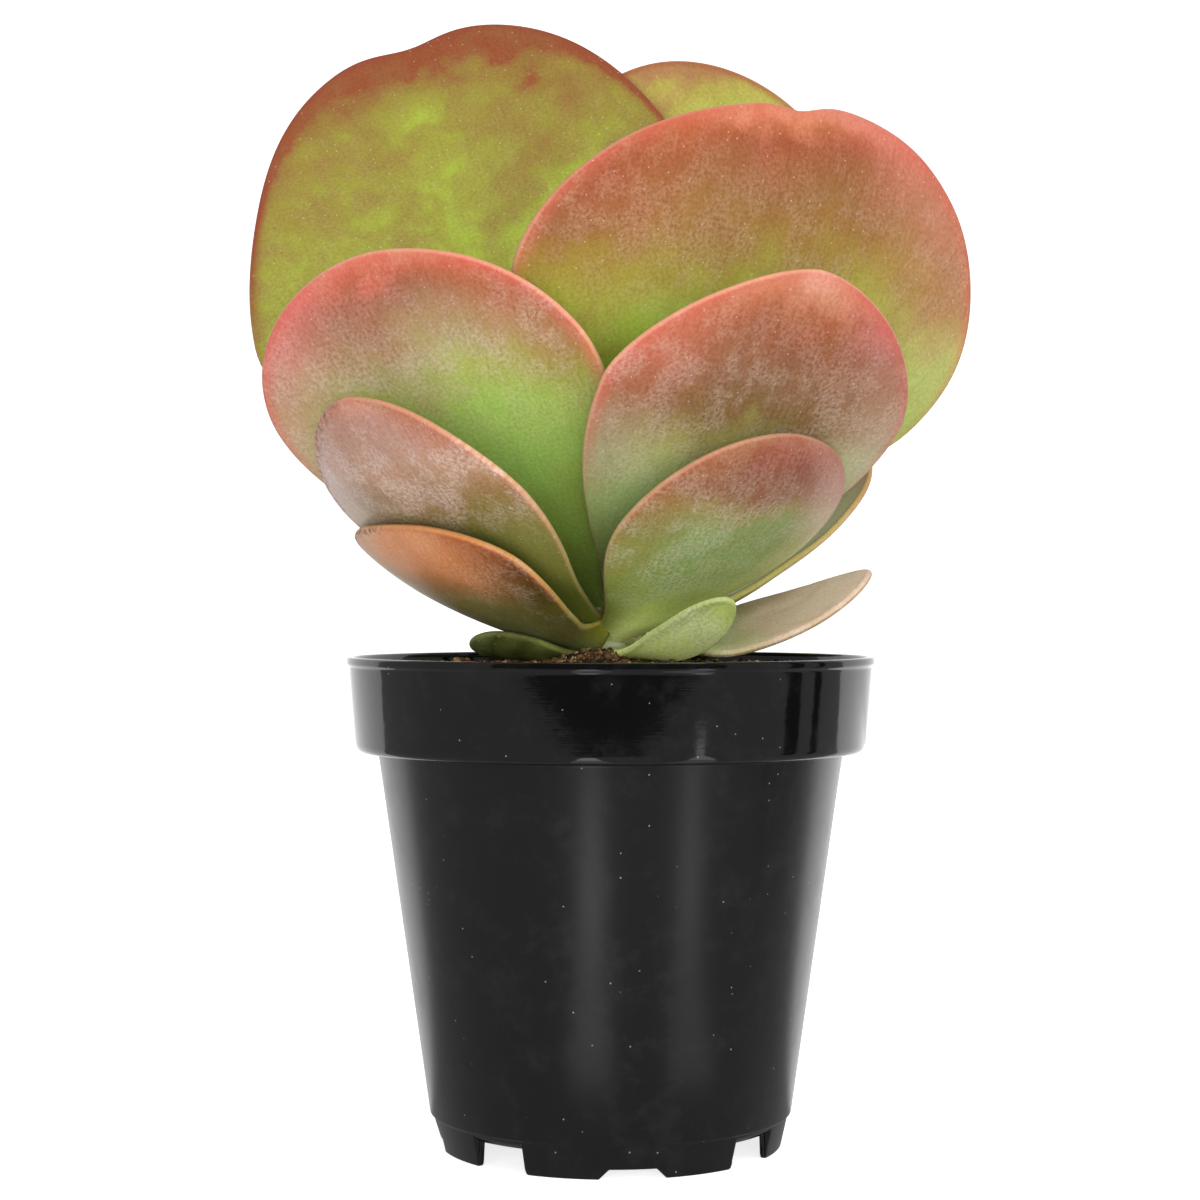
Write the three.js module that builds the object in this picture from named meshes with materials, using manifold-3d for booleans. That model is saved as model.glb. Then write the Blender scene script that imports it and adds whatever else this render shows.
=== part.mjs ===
// Potted paddle plant: a young succulent with broad round leaves in crossed pairs on a short stem,
// growing in a round black nursery pot that stands on four skirt feet.
// Millimetres, +Z up, front towards -Y. The origin is the middle of the bounding box's base.
import * as THREE from "three";
import { mergeVertices } from "three/addons/utils/BufferGeometryUtils.js";
import Module from "manifold-3d";

const wasm = await Module();
wasm.setup();

// Pot sizes, measured from the table that it stands on
const POT_HEIGHT = 99.7;
const RIM_RADIUS = 54;
const LIP_HEIGHT = 2;
const BAND_RADIUS = 53.5;
const BAND_FOOT_RADIUS = 52.1;
const BAND_FOOT = 81.6;
const BAND_CORNER = 1.1;
const STEP_HEIGHT = 80.4;
const WALL_TOP_RADIUS = 47.6;
const WALL_FOOT_RADIUS = 37;
const SKIRT_HEIGHT = 6.9;
const SKIRT_RADIUS = 36.4;
const SKIRT_FOOT_RADIUS = 34.9;
const POT_WALL = 1.2;
const FLOOR_TOP = 7.6;
const FLOOR_UNDERSIDE = 6.2;
const SKIRT_STEP = 0.3;
const LIP_ROUND = 0.5;
const POT_SIDES = 60;

// The skirt's four feet, their cut-outs, the shallow notch in each foot, and the floor's drainage holes
const FEET = 4;
const FIRST_CUT_OUT = 52;
const CUT_OUT_ANGLE = 19;
const CUT_OUT_HEIGHT = 5;
const FOOT_CORNER = 0.8;
const NOTCH_ANGLE = 22;
const NOTCH_HEIGHT = 1.9;
const NOTCH_SLANT = 2;
const NOTCH_CORNER = 0.1;
const DRAIN_RADIUS = 4;
const DRAIN_RING = 29;

// Soil
const SOIL_EDGE = 97.6;
const SOIL_CROWN = 98.5;
const SOIL_RELIEF = 0.35;
const SOIL_WAVES = [0.31, 0.37, 0.53, 0.29];
const SOIL_RINGS = 9;
const SOIL_SIDES = 36;

// Stem, and the small side shoot at its foot
const STEM_X = -1.5;
const STEM_RADIUS = 5.2;
const STEM_TIP_RADIUS = 2.2;
const STEM_ROOT = 88;
const STEM_TAPER_START = 104;
const STEM_TOP = 117.9;
const SHOOT_PLACE = { x: -2.5, y: -10.5 };
const SHOOT_RADIUS = 1.8;
const SHOOT_TOP = 100.6;
const STEM_SIDES = 20;
const SHOOT_SIDES = 14;
const GAP = 0.35;

// What most leaves share. Lengths in mm, angles in degrees, curvatures in 1/mm.
// azimuth is the way a leaf points, from the front and positive to the right; base is that at its foot.
// rise is the midrib's slope at foot and tip, turn rolls the blade about it, sweep bends it sideways.
// widest is the place of the greatest width; taper and round shape the outline below and above it.
const LEAF = {
  x: STEM_X,
  y: 0,
  sweep: 0,
  turn: 0,
  cup: 0.004,
  clasp: 0.1,
  skew: 0,
  notch: 0,
  lobe: 0,
  lobePhase: 0,
  footThickness: 3,
  thickness: 2.9,
  edge: 1.3,
  rows: 14,
  columns: 8,
};
const NOTCH_WIDTH = 0.13;
const LOBES = 3;
const CLASP_REACH = 0.1;
const FOOT_REACH = 0.35;

// Where each pair of leaves leaves the stem, from the lowest pair up
const PAIRS = [
  { z: 102, radius: 5, foot: 7 },
  { z: 104.1, radius: 4.8, foot: 8 },
  { z: 106, radius: 4.6, foot: 8.5 },
  { z: 108.5, radius: 4.2, foot: 8 },
  { z: 111.6, radius: 3.7, foot: 7.5 },
  { z: 115.2, radius: 3.1, foot: 7 },
  { z: 118.4, radius: 1.5, foot: 4 },
];

const GREEN = "#8fa457";
const BLUSHED = "#b87560";
const ROSY = "#b58577";
const LIME = "#9aa83a";

const leaves = [
  {
    name: "leaf_1_left", ...PAIRS[0], base: -68, azimuth: -52, rise: [11, 45], length: 51.5,
    width: 55, widest: 0.73, taper: 1.75, round: 2.2, turn: -3, sweep: 0.027, cup: 0.007,
    skew: -0.045, color: "#c0745a",
  },
  {
    name: "leaf_1_right", ...PAIRS[0], base: 112, azimuth: 84, rise: [-4, 37], length: 54.5,
    width: 37, widest: 0.47, taper: 1.35, round: 1.6, turn: 15, cup: 0.006, skew: 0.045,
    color: ROSY,
  },
  {
    name: "leaf_2_front_right", ...PAIRS[1], base: 45, azimuth: 45, rise: [20, 58], length: 62.8,
    width: 58, widest: 0.63, taper: 1.5, round: 1.95, sweep: -0.034, cup: 0.008, skew: 0.04,
    color: GREEN,
  },
  {
    name: "leaf_2_back_left", ...PAIRS[1], base: 225, azimuth: 217, rise: [34, 46], length: 64,
    width: 52, widest: 0.62, taper: 1.3, round: 2, color: GREEN,
  },
  {
    name: "leaf_3_front_left", ...PAIRS[2], base: -43, azimuth: -48, rise: [14, 58], length: 76,
    width: 61, widest: 0.623, taper: 1.5, round: 1.77, turn: -1, sweep: -0.015, skew: 0.03,
    color: ROSY,
  },
  {
    name: "leaf_3_back_right", ...PAIRS[2], base: 135, azimuth: 132, rise: [-2, 64], length: 83,
    width: 52.5, widest: 0.64, taper: 1.33, round: 2, turn: -15, cup: 0.005, skew: -0.02,
    color: GREEN,
  },
  {
    name: "leaf_4_front_right", ...PAIRS[3], base: 42, azimuth: 38, rise: [33, 59.5], length: 89.2,
    width: 74.5, widest: 0.666, taper: 1.18, round: 1.6, turn: -4, sweep: -0.013, cup: 0.002,
    skew: -0.025, color: ROSY,
  },
  {
    name: "leaf_4_back_left", ...PAIRS[3], base: 225, azimuth: 219, rise: [37.5, 55], length: 98,
    width: 71, widest: 0.615, taper: 1.29, round: 2, turn: -2.6, sweep: -0.008, color: GREEN,
  },
  {
    name: "leaf_5_front_left", ...PAIRS[4], base: -45, azimuth: -47.4, rise: [34.8, 58.6],
    length: 89, width: 80, widest: 0.665, taper: 1.24, round: 1.9, turn: 14.4, sweep: 0.025,
    cup: -0.001, color: BLUSHED,
  },
  {
    name: "leaf_5_back_right", ...PAIRS[4], base: 138, azimuth: 160, rise: [48.5, 82],
    length: 136.7, width: 81, widest: 0.62, taper: 1.4, round: 1.96, turn: 6, sweep: 0.078,
    skew: -0.03, color: LIME,
  },
  {
    name: "leaf_6_front_right", ...PAIRS[5], base: 45, azimuth: 52, rise: [42, 89.5], length: 106.4,
    width: 110.5, widest: 0.593, taper: 1.4, round: 1.85, turn: -19, sweep: 0.043, cup: 0.001,
    skew: -0.007, notch: 0.037, lobe: -0.032, lobePhase: -26, color: BLUSHED, rows: 16,
  },
  {
    name: "leaf_6_back_left", ...PAIRS[5], base: 225, azimuth: 213.7, rise: [62.7, 52],
    length: 145.4, width: 107, widest: 0.516, taper: 1.41, round: 2.29, turn: -31, sweep: -0.02,
    cup: 0.003, skew: -0.02, notch: 0.044, lobe: 0.06, lobePhase: -13.6, color: LIME, rows: 16,
  },
  {
    name: "leaf_7_front_left", ...PAIRS[6], base: -45, azimuth: -45, rise: [76, 86], length: 30,
    width: 17, widest: 0.63, taper: 1.4, round: 2, cup: 0.03, footThickness: 2, thickness: 2,
    rows: 8, columns: 6, color: LIME,
  },
  {
    name: "leaf_7_back_right", ...PAIRS[6], base: 135, azimuth: 135, rise: [76, 86], length: 30,
    width: 17, widest: 0.63, taper: 1.4, round: 2, cup: 0.03, footThickness: 2, thickness: 2,
    rows: 8, columns: 6, color: LIME,
  },
  {
    name: "shoot_leaf_right", ...SHOOT_PLACE, z: 100.3, radius: 1.4, foot: 3.2, base: 70,
    azimuth: 59, rise: [-1, 36], length: 33, width: 12.5, widest: 0.61, taper: 1.3, round: 1.8,
    turn: -32, sweep: -0.09, cup: 0.008, skew: -0.07, footThickness: 1.6, thickness: 1.8, rows: 10,
    columns: 6, color: "#9db858",
  },
  {
    name: "shoot_leaf_left", ...SHOOT_PLACE, z: 100.1, radius: 1.4, foot: 3.2, base: -95,
    azimuth: -95, rise: [1, 11], length: 25, width: 12.5, widest: 0.72, taper: 1.5, round: 2,
    turn: 25, sweep: -0.024, cup: 0.05, skew: -0.024, footThickness: 1.6, thickness: 1.6, rows: 10,
    columns: 6, color: "#5d7a35",
  },
].map((leaf) => ({ ...LEAF, ...leaf }));

const radians = THREE.MathUtils.degToRad;
const clamp = THREE.MathUtils.clamp;
const mix = THREE.MathUtils.lerp;
const ease = (t) => THREE.MathUtils.smoothstep(t, 0, 1);

// A closed geometry as a solid that can be cut, and back again
function solidOf(geometry) {
  const bare = geometry.clone();
  bare.deleteAttribute("normal");
  bare.deleteAttribute("uv");
  const merged = mergeVertices(bare, 1e-4);
  const vertProperties = new Float32Array(merged.attributes.position.array);
  const triVerts = new Uint32Array(merged.index.array);
  return new wasm.Manifold(new wasm.Mesh({ numProp: 3, vertProperties, triVerts }));
}

function geometryOf(solid) {
  const mesh = solid.getMesh();
  const geometry = new THREE.BufferGeometry();
  geometry.setAttribute("position", new THREE.BufferAttribute(mesh.vertProperties, 3));
  geometry.setIndex(new THREE.BufferAttribute(mesh.triVerts, 1));
  const flat = geometry.toNonIndexed();
  flat.computeVertexNormals();
  return flat;
}

function named(name, geometry, color, roughness) {
  const material = new THREE.MeshStandardMaterial({ color, roughness, metalness: 0 });
  const mesh = new THREE.Mesh(geometry, material);
  mesh.name = name;
  return mesh;
}

// A solid of revolution about Z from [radius, height] points that run up its outside
function turned(points, sides) {
  const profile = points.map(([radius, height]) => new THREE.Vector2(radius, height));
  return new THREE.LatheGeometry(profile, sides).rotateX(Math.PI / 2);
}

// Pot wall radii at a height, outside and inside
function wallRadius(z) {
  const share = (z - SKIRT_HEIGHT) / (STEP_HEIGHT - SKIRT_HEIGHT);
  return mix(WALL_FOOT_RADIUS, WALL_TOP_RADIUS, share);
}

function innerRadius(z) {
  if (z < STEP_HEIGHT + POT_WALL) {
    return wallRadius(z) - POT_WALL;
  }
  const share = (z - BAND_FOOT) / (POT_HEIGHT - BAND_FOOT);
  return mix(BAND_FOOT_RADIUS, BAND_RADIUS, share) - POT_WALL;
}

// A wedge that cuts the skirt from the table up, with slanted ends and rounded foot corners
function skirtCutter(angle, width, height, slant, corner) {
  const reach = RIM_RADIUS;
  const half = SKIRT_FOOT_RADIUS * Math.sin(radians(width / 2));
  const below = -1;
  const outline = new THREE.Shape();
  outline.moveTo(-half - corner, below);
  outline.lineTo(half + corner, below);
  outline.lineTo(half + corner, 0);
  outline.quadraticCurveTo(half, 0, half, corner);
  outline.lineTo(half - slant, height);
  outline.lineTo(-half + slant, height);
  outline.lineTo(-half, corner);
  outline.quadraticCurveTo(-half, 0, -half - corner, 0);
  const depth = reach - DRAIN_RING;
  const wedge = new THREE.ExtrudeGeometry(outline, { depth, bevelEnabled: false, curveSegments: 3 });
  wedge.rotateX(Math.PI / 2);
  wedge.translate(0, -DRAIN_RING, 0);
  return solidOf(wedge.rotateZ(radians(angle)));
}

function makePot() {
  const outside = [
    [0, FLOOR_UNDERSIDE],
    [SKIRT_RADIUS - POT_WALL, FLOOR_UNDERSIDE],
    [SKIRT_FOOT_RADIUS - POT_WALL, 0],
    [SKIRT_FOOT_RADIUS, 0],
    [SKIRT_RADIUS, SKIRT_HEIGHT - SKIRT_STEP],
    [WALL_FOOT_RADIUS, SKIRT_HEIGHT],
    [WALL_TOP_RADIUS, STEP_HEIGHT],
    [BAND_FOOT_RADIUS - BAND_CORNER, BAND_FOOT - BAND_CORNER],
    [BAND_FOOT_RADIUS - BAND_CORNER / 3, BAND_FOOT - BAND_CORNER / 2],
    [BAND_FOOT_RADIUS, BAND_FOOT + BAND_CORNER / 3],
    [BAND_RADIUS, POT_HEIGHT - LIP_HEIGHT],
    [RIM_RADIUS, POT_HEIGHT - LIP_HEIGHT * 0.7],
    [RIM_RADIUS, POT_HEIGHT - LIP_HEIGHT * 0.25],
    [RIM_RADIUS - LIP_ROUND, POT_HEIGHT],
  ];
  const inside = [
    [BAND_RADIUS - POT_WALL + LIP_ROUND, POT_HEIGHT],
    [BAND_RADIUS - POT_WALL, POT_HEIGHT - LIP_HEIGHT * 0.3],
    [BAND_FOOT_RADIUS - POT_WALL, BAND_FOOT + POT_WALL / 2],
    [WALL_TOP_RADIUS - POT_WALL, STEP_HEIGHT + POT_WALL],
    [innerRadius(FLOOR_TOP), FLOOR_TOP],
    [0, FLOOR_TOP],
  ];
  let pot = solidOf(turned([...outside, ...inside], POT_SIDES));
  for (let i = 0; i < FEET; i++) {
    const angle = FIRST_CUT_OUT + (i * 360) / FEET;
    pot = pot.subtract(skirtCutter(angle, CUT_OUT_ANGLE, CUT_OUT_HEIGHT, 0, FOOT_CORNER));
    pot = pot.subtract(skirtCutter(angle + 180 / FEET, NOTCH_ANGLE, NOTCH_HEIGHT, NOTCH_SLANT, NOTCH_CORNER));
    pot = pot.subtract(drainAt(angle, DRAIN_RING));
  }
  pot = pot.subtract(drainAt(0, 0));
  return named("pot", geometryOf(pot), "#141416", 0.35);
}

// A drainage hole through the floor
function drainAt(angle, ring) {
  const depth = 2 * (FLOOR_TOP - FLOOR_UNDERSIDE);
  const hole = new THREE.CylinderGeometry(DRAIN_RADIUS, DRAIN_RADIUS, depth, 16);
  hole.rotateX(Math.PI / 2);
  hole.translate(0, -ring, (FLOOR_TOP + FLOOR_UNDERSIDE) / 2);
  return solidOf(hole.rotateZ(radians(angle)));
}

// Low crumbs in the soil's surface, from a few crossed waves
function soilHeight(x, y) {
  const r = Math.hypot(x, y);
  const edge = innerRadius(SOIL_EDGE) - GAP;
  const mound = mix(SOIL_CROWN, SOIL_EDGE, ease(r / edge));
  const [a, b, c, d] = SOIL_WAVES;
  const waves = Math.sin(a * x + 1) * Math.sin(b * y) + Math.sin(c * y + d * x);
  return mound + (SOIL_RELIEF / 2) * waves;
}

// The soil fills the pot: a lathe body whose top face is then raised by the surface's own formula
function makeSoil() {
  const top = SOIL_CROWN;
  const edge = innerRadius(SOIL_EDGE) - GAP;
  const floor = FLOOR_TOP + GAP;
  const side = [
    [0, floor],
    [innerRadius(floor) - GAP, floor],
    [WALL_TOP_RADIUS - POT_WALL - GAP, STEP_HEIGHT + POT_WALL + GAP],
    [BAND_FOOT_RADIUS - POT_WALL - GAP, BAND_FOOT + POT_WALL + GAP],
    [edge, top],
  ];
  const surface = [];
  for (let i = 1; i <= SOIL_RINGS; i++) {
    surface.push([edge * (1 - i / SOIL_RINGS), top]);
  }
  const body = turned([...side, ...surface], SOIL_SIDES);
  const position = body.attributes.position;
  for (let i = 0; i < position.count; i++) {
    if (Math.abs(position.getZ(i) - top) < 1e-3) {
      position.setZ(i, soilHeight(position.getX(i), position.getY(i)));
    }
  }
  const holes = [grownStem(GAP, STEM_ROOT - GAP), grownShoot(GAP, STEM_ROOT - GAP)];
  const soil = holes.reduce((left, hole) => left.subtract(hole), solidOf(body));
  return named("soil", geometryOf(soil), "#3a2c22", 0.95);
}

// The short stem tapers through the leaf pairs to the growing tip
function stemProfile(extra, root) {
  const middle = mix(STEM_TAPER_START, STEM_TOP, 0.5);
  return [
    [0, root],
    [STEM_RADIUS + extra, root],
    [STEM_RADIUS + extra, STEM_TAPER_START],
    [mix(STEM_RADIUS, STEM_TIP_RADIUS, 0.4) + extra, middle],
    [STEM_TIP_RADIUS + extra, STEM_TOP - 0.4],
    [STEM_TIP_RADIUS - 0.5 + extra, STEM_TOP + extra],
    [0, STEM_TOP + extra],
  ];
}

function shootProfile(extra, root) {
  return [
    [0, root],
    [SHOOT_RADIUS + extra, root],
    [SHOOT_RADIUS + extra, SHOOT_TOP - 1],
    [SHOOT_RADIUS - 0.8 + extra, SHOOT_TOP + extra],
    [0, SHOOT_TOP + extra],
  ];
}

function grownStem(extra, root) {
  return solidOf(turned(stemProfile(extra, root), STEM_SIDES).translate(STEM_X, 0, 0));
}

function grownShoot(extra, root) {
  const { x, y } = SHOOT_PLACE;
  return solidOf(turned(shootProfile(extra, root), SHOOT_SIDES).translate(x, y, 0));
}

// The midrib as even stations from the foot to just past the tip
const STATIONS = 60;
const RIB_END = 1.12;
const ROLL_END = 0.45;
const SWING_END = 0.3;

function midribOf(leaf) {
  const up = new THREE.Vector3(0, 0, 1);
  const stations = [];
  const start = radians(leaf.base);
  const place = new THREE.Vector3(Math.sin(start), -Math.cos(start), 0).multiplyScalar(leaf.radius);
  place.add(new THREE.Vector3(leaf.x, leaf.y, leaf.z));
  let before = null;
  for (let i = 0; i <= STATIONS; i++) {
    const s = (RIB_END * i) / STATIONS;
    const slope = radians(mix(leaf.rise[0], leaf.rise[1], s));
    const heading = radians(mix(leaf.base, leaf.azimuth, ease(s / SWING_END)));
    const roll = radians(leaf.turn) * ease(s / ROLL_END);
    const out = new THREE.Vector3(Math.sin(heading), -Math.cos(heading), 0);
    const across = new THREE.Vector3(Math.cos(heading), Math.sin(heading), 0);
    const along = out.clone().multiplyScalar(Math.cos(slope)).addScaledVector(up, Math.sin(slope));
    const normal = up.clone().multiplyScalar(Math.cos(slope)).addScaledVector(out, -Math.sin(slope));
    if (before) {
      const step = (leaf.length * RIB_END) / STATIONS / 2;
      place.addScaledVector(before, step).addScaledVector(along, step);
    }
    before = along;
    const side = across.clone().multiplyScalar(Math.cos(roll)).addScaledVector(normal, Math.sin(roll));
    const face = normal.clone().multiplyScalar(Math.cos(roll)).addScaledVector(across, -Math.sin(roll));
    const swept = place.clone().addScaledVector(side, leaf.sweep * leaf.length * s * s);
    stations.push({ place: swept, side, face });
  }
  return stations;
}

function stationAt(rib, s) {
  const at = clamp(s / RIB_END, 0, 1) * STATIONS;
  const i = Math.min(Math.floor(at), STATIONS - 1);
  const blend = (key) => rib[i][key].clone().lerp(rib[i + 1][key], at - i);
  return { place: blend("place"), side: blend("side"), face: blend("face") };
}

// The flat outline: a point at s along and v across, and how near it is to the margin (0 to 1)
function flatPoint(leaf, s, v) {
  const half = leaf.width / 2;
  const foot = leaf.foot / 2;
  const widest = leaf.widest + leaf.skew * v;
  const beyond = clamp((s - widest) / (1 - widest), 0, 1);
  const below = foot + (half - foot) * Math.sin((Math.PI / 2) * clamp(s / widest, 0, 1)) ** leaf.taper;
  const above = half * (1 - beyond ** leaf.round) ** (1 / leaf.round);
  const x = v * (s < widest ? below : above);
  const reach = Math.abs(x / half) ** leaf.round + beyond ** leaf.round;
  const margin = s < widest ? Math.abs(v) : reach ** (1 / leaf.round);
  const centre = leaf.widest * leaf.length;
  const y = s * leaf.length;
  const around = Math.atan2(x, y - centre);
  const fade = (1 + Math.cos(around)) / 2;
  const lobed = leaf.lobe * Math.cos(LOBES * around - radians(leaf.lobePhase)) * fade;
  const notched = leaf.notch * Math.exp(-((around / NOTCH_WIDTH) ** 2));
  const stretch = 1 + (lobed - notched) * margin ** 3;
  return { x: x * stretch, y: centre + (y - centre) * stretch, margin };
}

// The blade's upper and lower points at s and v: the flat outline bent into the leaf's trough
function bladePoints(leaf, rib, s, v) {
  const flat = flatPoint(leaf, s, v);
  const along = flat.y / leaf.length;
  const station = stationAt(rib, along);
  const bend = leaf.cup + (leaf.clasp - leaf.cup) * Math.exp(-along / CLASP_REACH);
  const angle = bend * flat.x;
  const middle = station.place
    .addScaledVector(station.side, Math.sin(angle) / bend)
    .addScaledVector(station.face, (1 - Math.cos(angle)) / bend);
  const normal = station.face.multiplyScalar(Math.cos(angle)).addScaledVector(station.side, -Math.sin(angle));
  const body = mix(leaf.footThickness, leaf.thickness, ease(s / FOOT_REACH));
  const thickness = mix(body, leaf.edge, flat.margin ** 3);
  return {
    upper: middle.clone().addScaledVector(normal, thickness / 2),
    lower: middle.clone().addScaledVector(normal, -thickness / 2),
  };
}

// A leaf as rings of points round the blade, joined from foot to tip
function leafSolid(leaf) {
  const rib = midribOf(leaf);
  const points = [];
  const faces = [];
  const across = leaf.columns + 1;
  const ring = 2 * across;
  for (let i = 0; i < leaf.rows; i++) {
    const s = Math.sin(((Math.PI / 2) * i) / leaf.rows);
    const row = [];
    for (let j = 0; j < across; j++) {
      row.push(bladePoints(leaf, rib, s, mix(-1, 1, j / leaf.columns)));
    }
    points.push(...row.map((p) => p.upper), ...row.map((p) => p.lower));
  }
  const tip = bladePoints(leaf, rib, 1, 0);
  const upperTip = points.push(tip.upper) - 1;
  const lowerTip = points.push(tip.lower) - 1;
  const quad = (a, b, c, d) => faces.push([a, c, b], [a, d, c]);
  for (let i = 0; i < leaf.rows - 1; i++) {
    const a = i * ring;
    const b = a + ring;
    for (let j = 0; j < leaf.columns; j++) {
      quad(a + j, a + j + 1, b + j + 1, b + j);
      const under = across + j;
      faces.push([a + under, a + under + 1, b + under + 1], [a + under, b + under + 1, b + under]);
    }
    quad(a, b, b + across, a + across);
    quad(a + across - 1, a + ring - 1, b + ring - 1, b + across - 1);
  }
  const last = (leaf.rows - 1) * ring;
  for (let j = 0; j < leaf.columns; j++) {
    faces.push([last + j, upperTip, last + j + 1]);
    faces.push([last + across + j, last + across + j + 1, lowerTip]);
    quad(j, across + j, across + j + 1, j + 1);
  }
  quad(last, upperTip, lowerTip, last + across);
  quad(last + across - 1, last + ring - 1, lowerTip, upperTip);
  const geometry = new THREE.BufferGeometry().setFromPoints(points);
  geometry.setIndex(faces.flat());
  return solidOf(geometry);
}

// The part: everything stands on the pot's axis first and is then moved so the box's base is centred
const plant = new THREE.Group();
plant.add(makePot());
plant.add(makeSoil());
plant.add(named("stem", geometryOf(grownStem(0, STEM_ROOT)), "#9aa77c", 0.7));
plant.add(named("side_shoot", geometryOf(grownShoot(0, STEM_ROOT)), "#8b9a66", 0.7));

const stemSpace = grownStem(GAP, STEM_ROOT);
const shootSpace = grownShoot(GAP, STEM_ROOT);
for (const leaf of leaves) {
  const trimmed = leafSolid(leaf).subtract(stemSpace).subtract(shootSpace);
  plant.add(named(leaf.name, geometryOf(trimmed), leaf.color, 0.55));
}

const box = new THREE.Box3().setFromObject(plant);
const middle = box.getCenter(new THREE.Vector3());
plant.position.set(-middle.x, -middle.y, -box.min.z);

const part = new THREE.Group();
part.add(plant);
export default part;
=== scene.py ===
"""Potted paddle plant: a young succulent with broad round leaves in crossed pairs, in a black nursery pot.

The frame is in metres, +Z up, front towards -Y. Shapes are worked out in millimetres from the pot's axis on
the table, angles in degrees, and TO_FRAME brings them into the frame. An azimuth is measured from the front,
positive to the right.
"""

import logging
import math
import random
from dataclasses import dataclass, field
from enum import Enum
from functools import partial
from typing import Any

import bmesh
import bpy
from mathutils import Matrix, Vector, noise


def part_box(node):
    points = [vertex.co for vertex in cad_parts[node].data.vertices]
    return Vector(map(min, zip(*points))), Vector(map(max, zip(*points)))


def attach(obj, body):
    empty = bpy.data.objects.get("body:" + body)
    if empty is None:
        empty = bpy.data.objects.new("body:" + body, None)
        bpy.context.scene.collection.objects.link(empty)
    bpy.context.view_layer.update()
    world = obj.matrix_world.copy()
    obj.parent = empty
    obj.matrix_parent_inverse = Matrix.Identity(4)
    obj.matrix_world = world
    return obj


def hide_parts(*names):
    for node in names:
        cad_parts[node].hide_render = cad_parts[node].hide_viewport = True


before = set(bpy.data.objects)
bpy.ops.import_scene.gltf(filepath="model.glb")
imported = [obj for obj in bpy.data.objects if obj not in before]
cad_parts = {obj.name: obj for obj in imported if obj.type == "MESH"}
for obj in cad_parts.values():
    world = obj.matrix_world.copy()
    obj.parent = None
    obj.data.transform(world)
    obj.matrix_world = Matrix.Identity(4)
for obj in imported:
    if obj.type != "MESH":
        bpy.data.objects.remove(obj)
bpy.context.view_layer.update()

MM = 0.001
POT_LOW, POT_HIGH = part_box("pot")
POT_AXIS = Vector(((POT_LOW.x + POT_HIGH.x) / 2, (POT_LOW.y + POT_HIGH.y) / 2, POT_LOW.z))
TO_FRAME = Matrix.Translation(POT_AXIS) @ Matrix.Scale(MM, 4)
POT_HEIGHT = (POT_HIGH.z - POT_LOW.z) / MM
RIM_RADIUS = (POT_HIGH.x - POT_LOW.x) / 2 / MM
# The stem stands this far to the right of the pot's axis
STEM_X = -1.5
# Vertices closer together than this become one
WELD = 1e-3
# A straight longer than LONG gets a point this close to each end
LONG = 3
HOLD = 0.25

Stops = tuple[tuple[float, str], ...]
Point = tuple[float, float]


def mix(low: float, high: float, share: float) -> float:
    """Gives the value that lies the given share of the way from low to high."""
    return low + (high - low) * share


def clip(value: float) -> float:
    """Keeps a value between 0 and 1."""
    return min(1.0, max(0.0, value))


def ease(share: float) -> float:
    """Rises smoothly from 0 to 1."""
    held = clip(share)
    return held * held * (3 - 2 * held)


def linear(code: str) -> tuple[float, float, float, float]:
    """Turns an sRGB hex colour into the linear colour that a shader takes.

    Args:
        code: the colour as "#rrggbb".

    Returns:
        Red, green, blue and a full alpha.
    """
    parts = [int(code[i : i + 2], 16) / 255 for i in (1, 3, 5)]
    flat = [c / 12.92 if c <= 0.04045 else ((c + 0.055) / 1.055) ** 2.4 for c in parts]
    return (flat[0], flat[1], flat[2], 1.0)


def add_node(tree: bpy.types.NodeTree, kind: str, inputs: dict | None = None, out: int | str = 0,
             stops: Stops = (), **settings: Any) -> bpy.types.NodeSocket:
    """Adds a shader node with its settings and links.

    Args:
        tree: the material's node tree.
        kind: the node's type, without the ShaderNode that they all start with.
        inputs: for each input, by name or number, a value or another node's output.
        out: the output to hand back, by name or number.
        stops: a colour ramp's places and hex colours.
        settings: the node's own properties.

    Returns:
        The chosen output, or the node's first input where it has no outputs.
    """
    node = tree.nodes.new("ShaderNode" + kind)
    for name, value in settings.items():
        setattr(node, name, value)
    for i, (place, code) in enumerate(stops):
        ramp = node.color_ramp.elements
        stop = ramp[i] if i < 2 else ramp.new(place)
        stop.position = place
        stop.color = linear(code)
    for key, value in (inputs or {}).items():
        if isinstance(value, bpy.types.NodeSocket):
            tree.links.new(value, node.inputs[key])
        else:
            node.inputs[key].default_value = value
    return node.outputs[out] if node.outputs else node.inputs[0]


def new_material(name: str) -> tuple[bpy.types.Material, bpy.types.NodeTree]:
    """Starts an empty material.

    Args:
        name: what the real material is and how its surface was made.

    Returns:
        The material and its node tree.
    """
    material = bpy.data.materials.new(name)
    material.use_nodes = True
    material.node_tree.nodes.clear()
    return material, material.node_tree


def make_object(bm: bmesh.types.BMesh, name: str, material: bpy.types.Material) -> bpy.types.Object:
    """Turns a shape into a smoothly shaded object of the scene.

    Args:
        bm: the shape in metres, which this closes.
        name: the object's name.
        material: its finish.

    Returns:
        The object.
    """
    for face in bm.faces:
        face.smooth = True
    mesh = bpy.data.meshes.new(name)
    bm.to_mesh(mesh)
    bm.free()
    mesh.materials.append(material)
    made = bpy.data.objects.new(name, mesh)
    bpy.context.scene.collection.objects.link(made)
    return made


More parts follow.
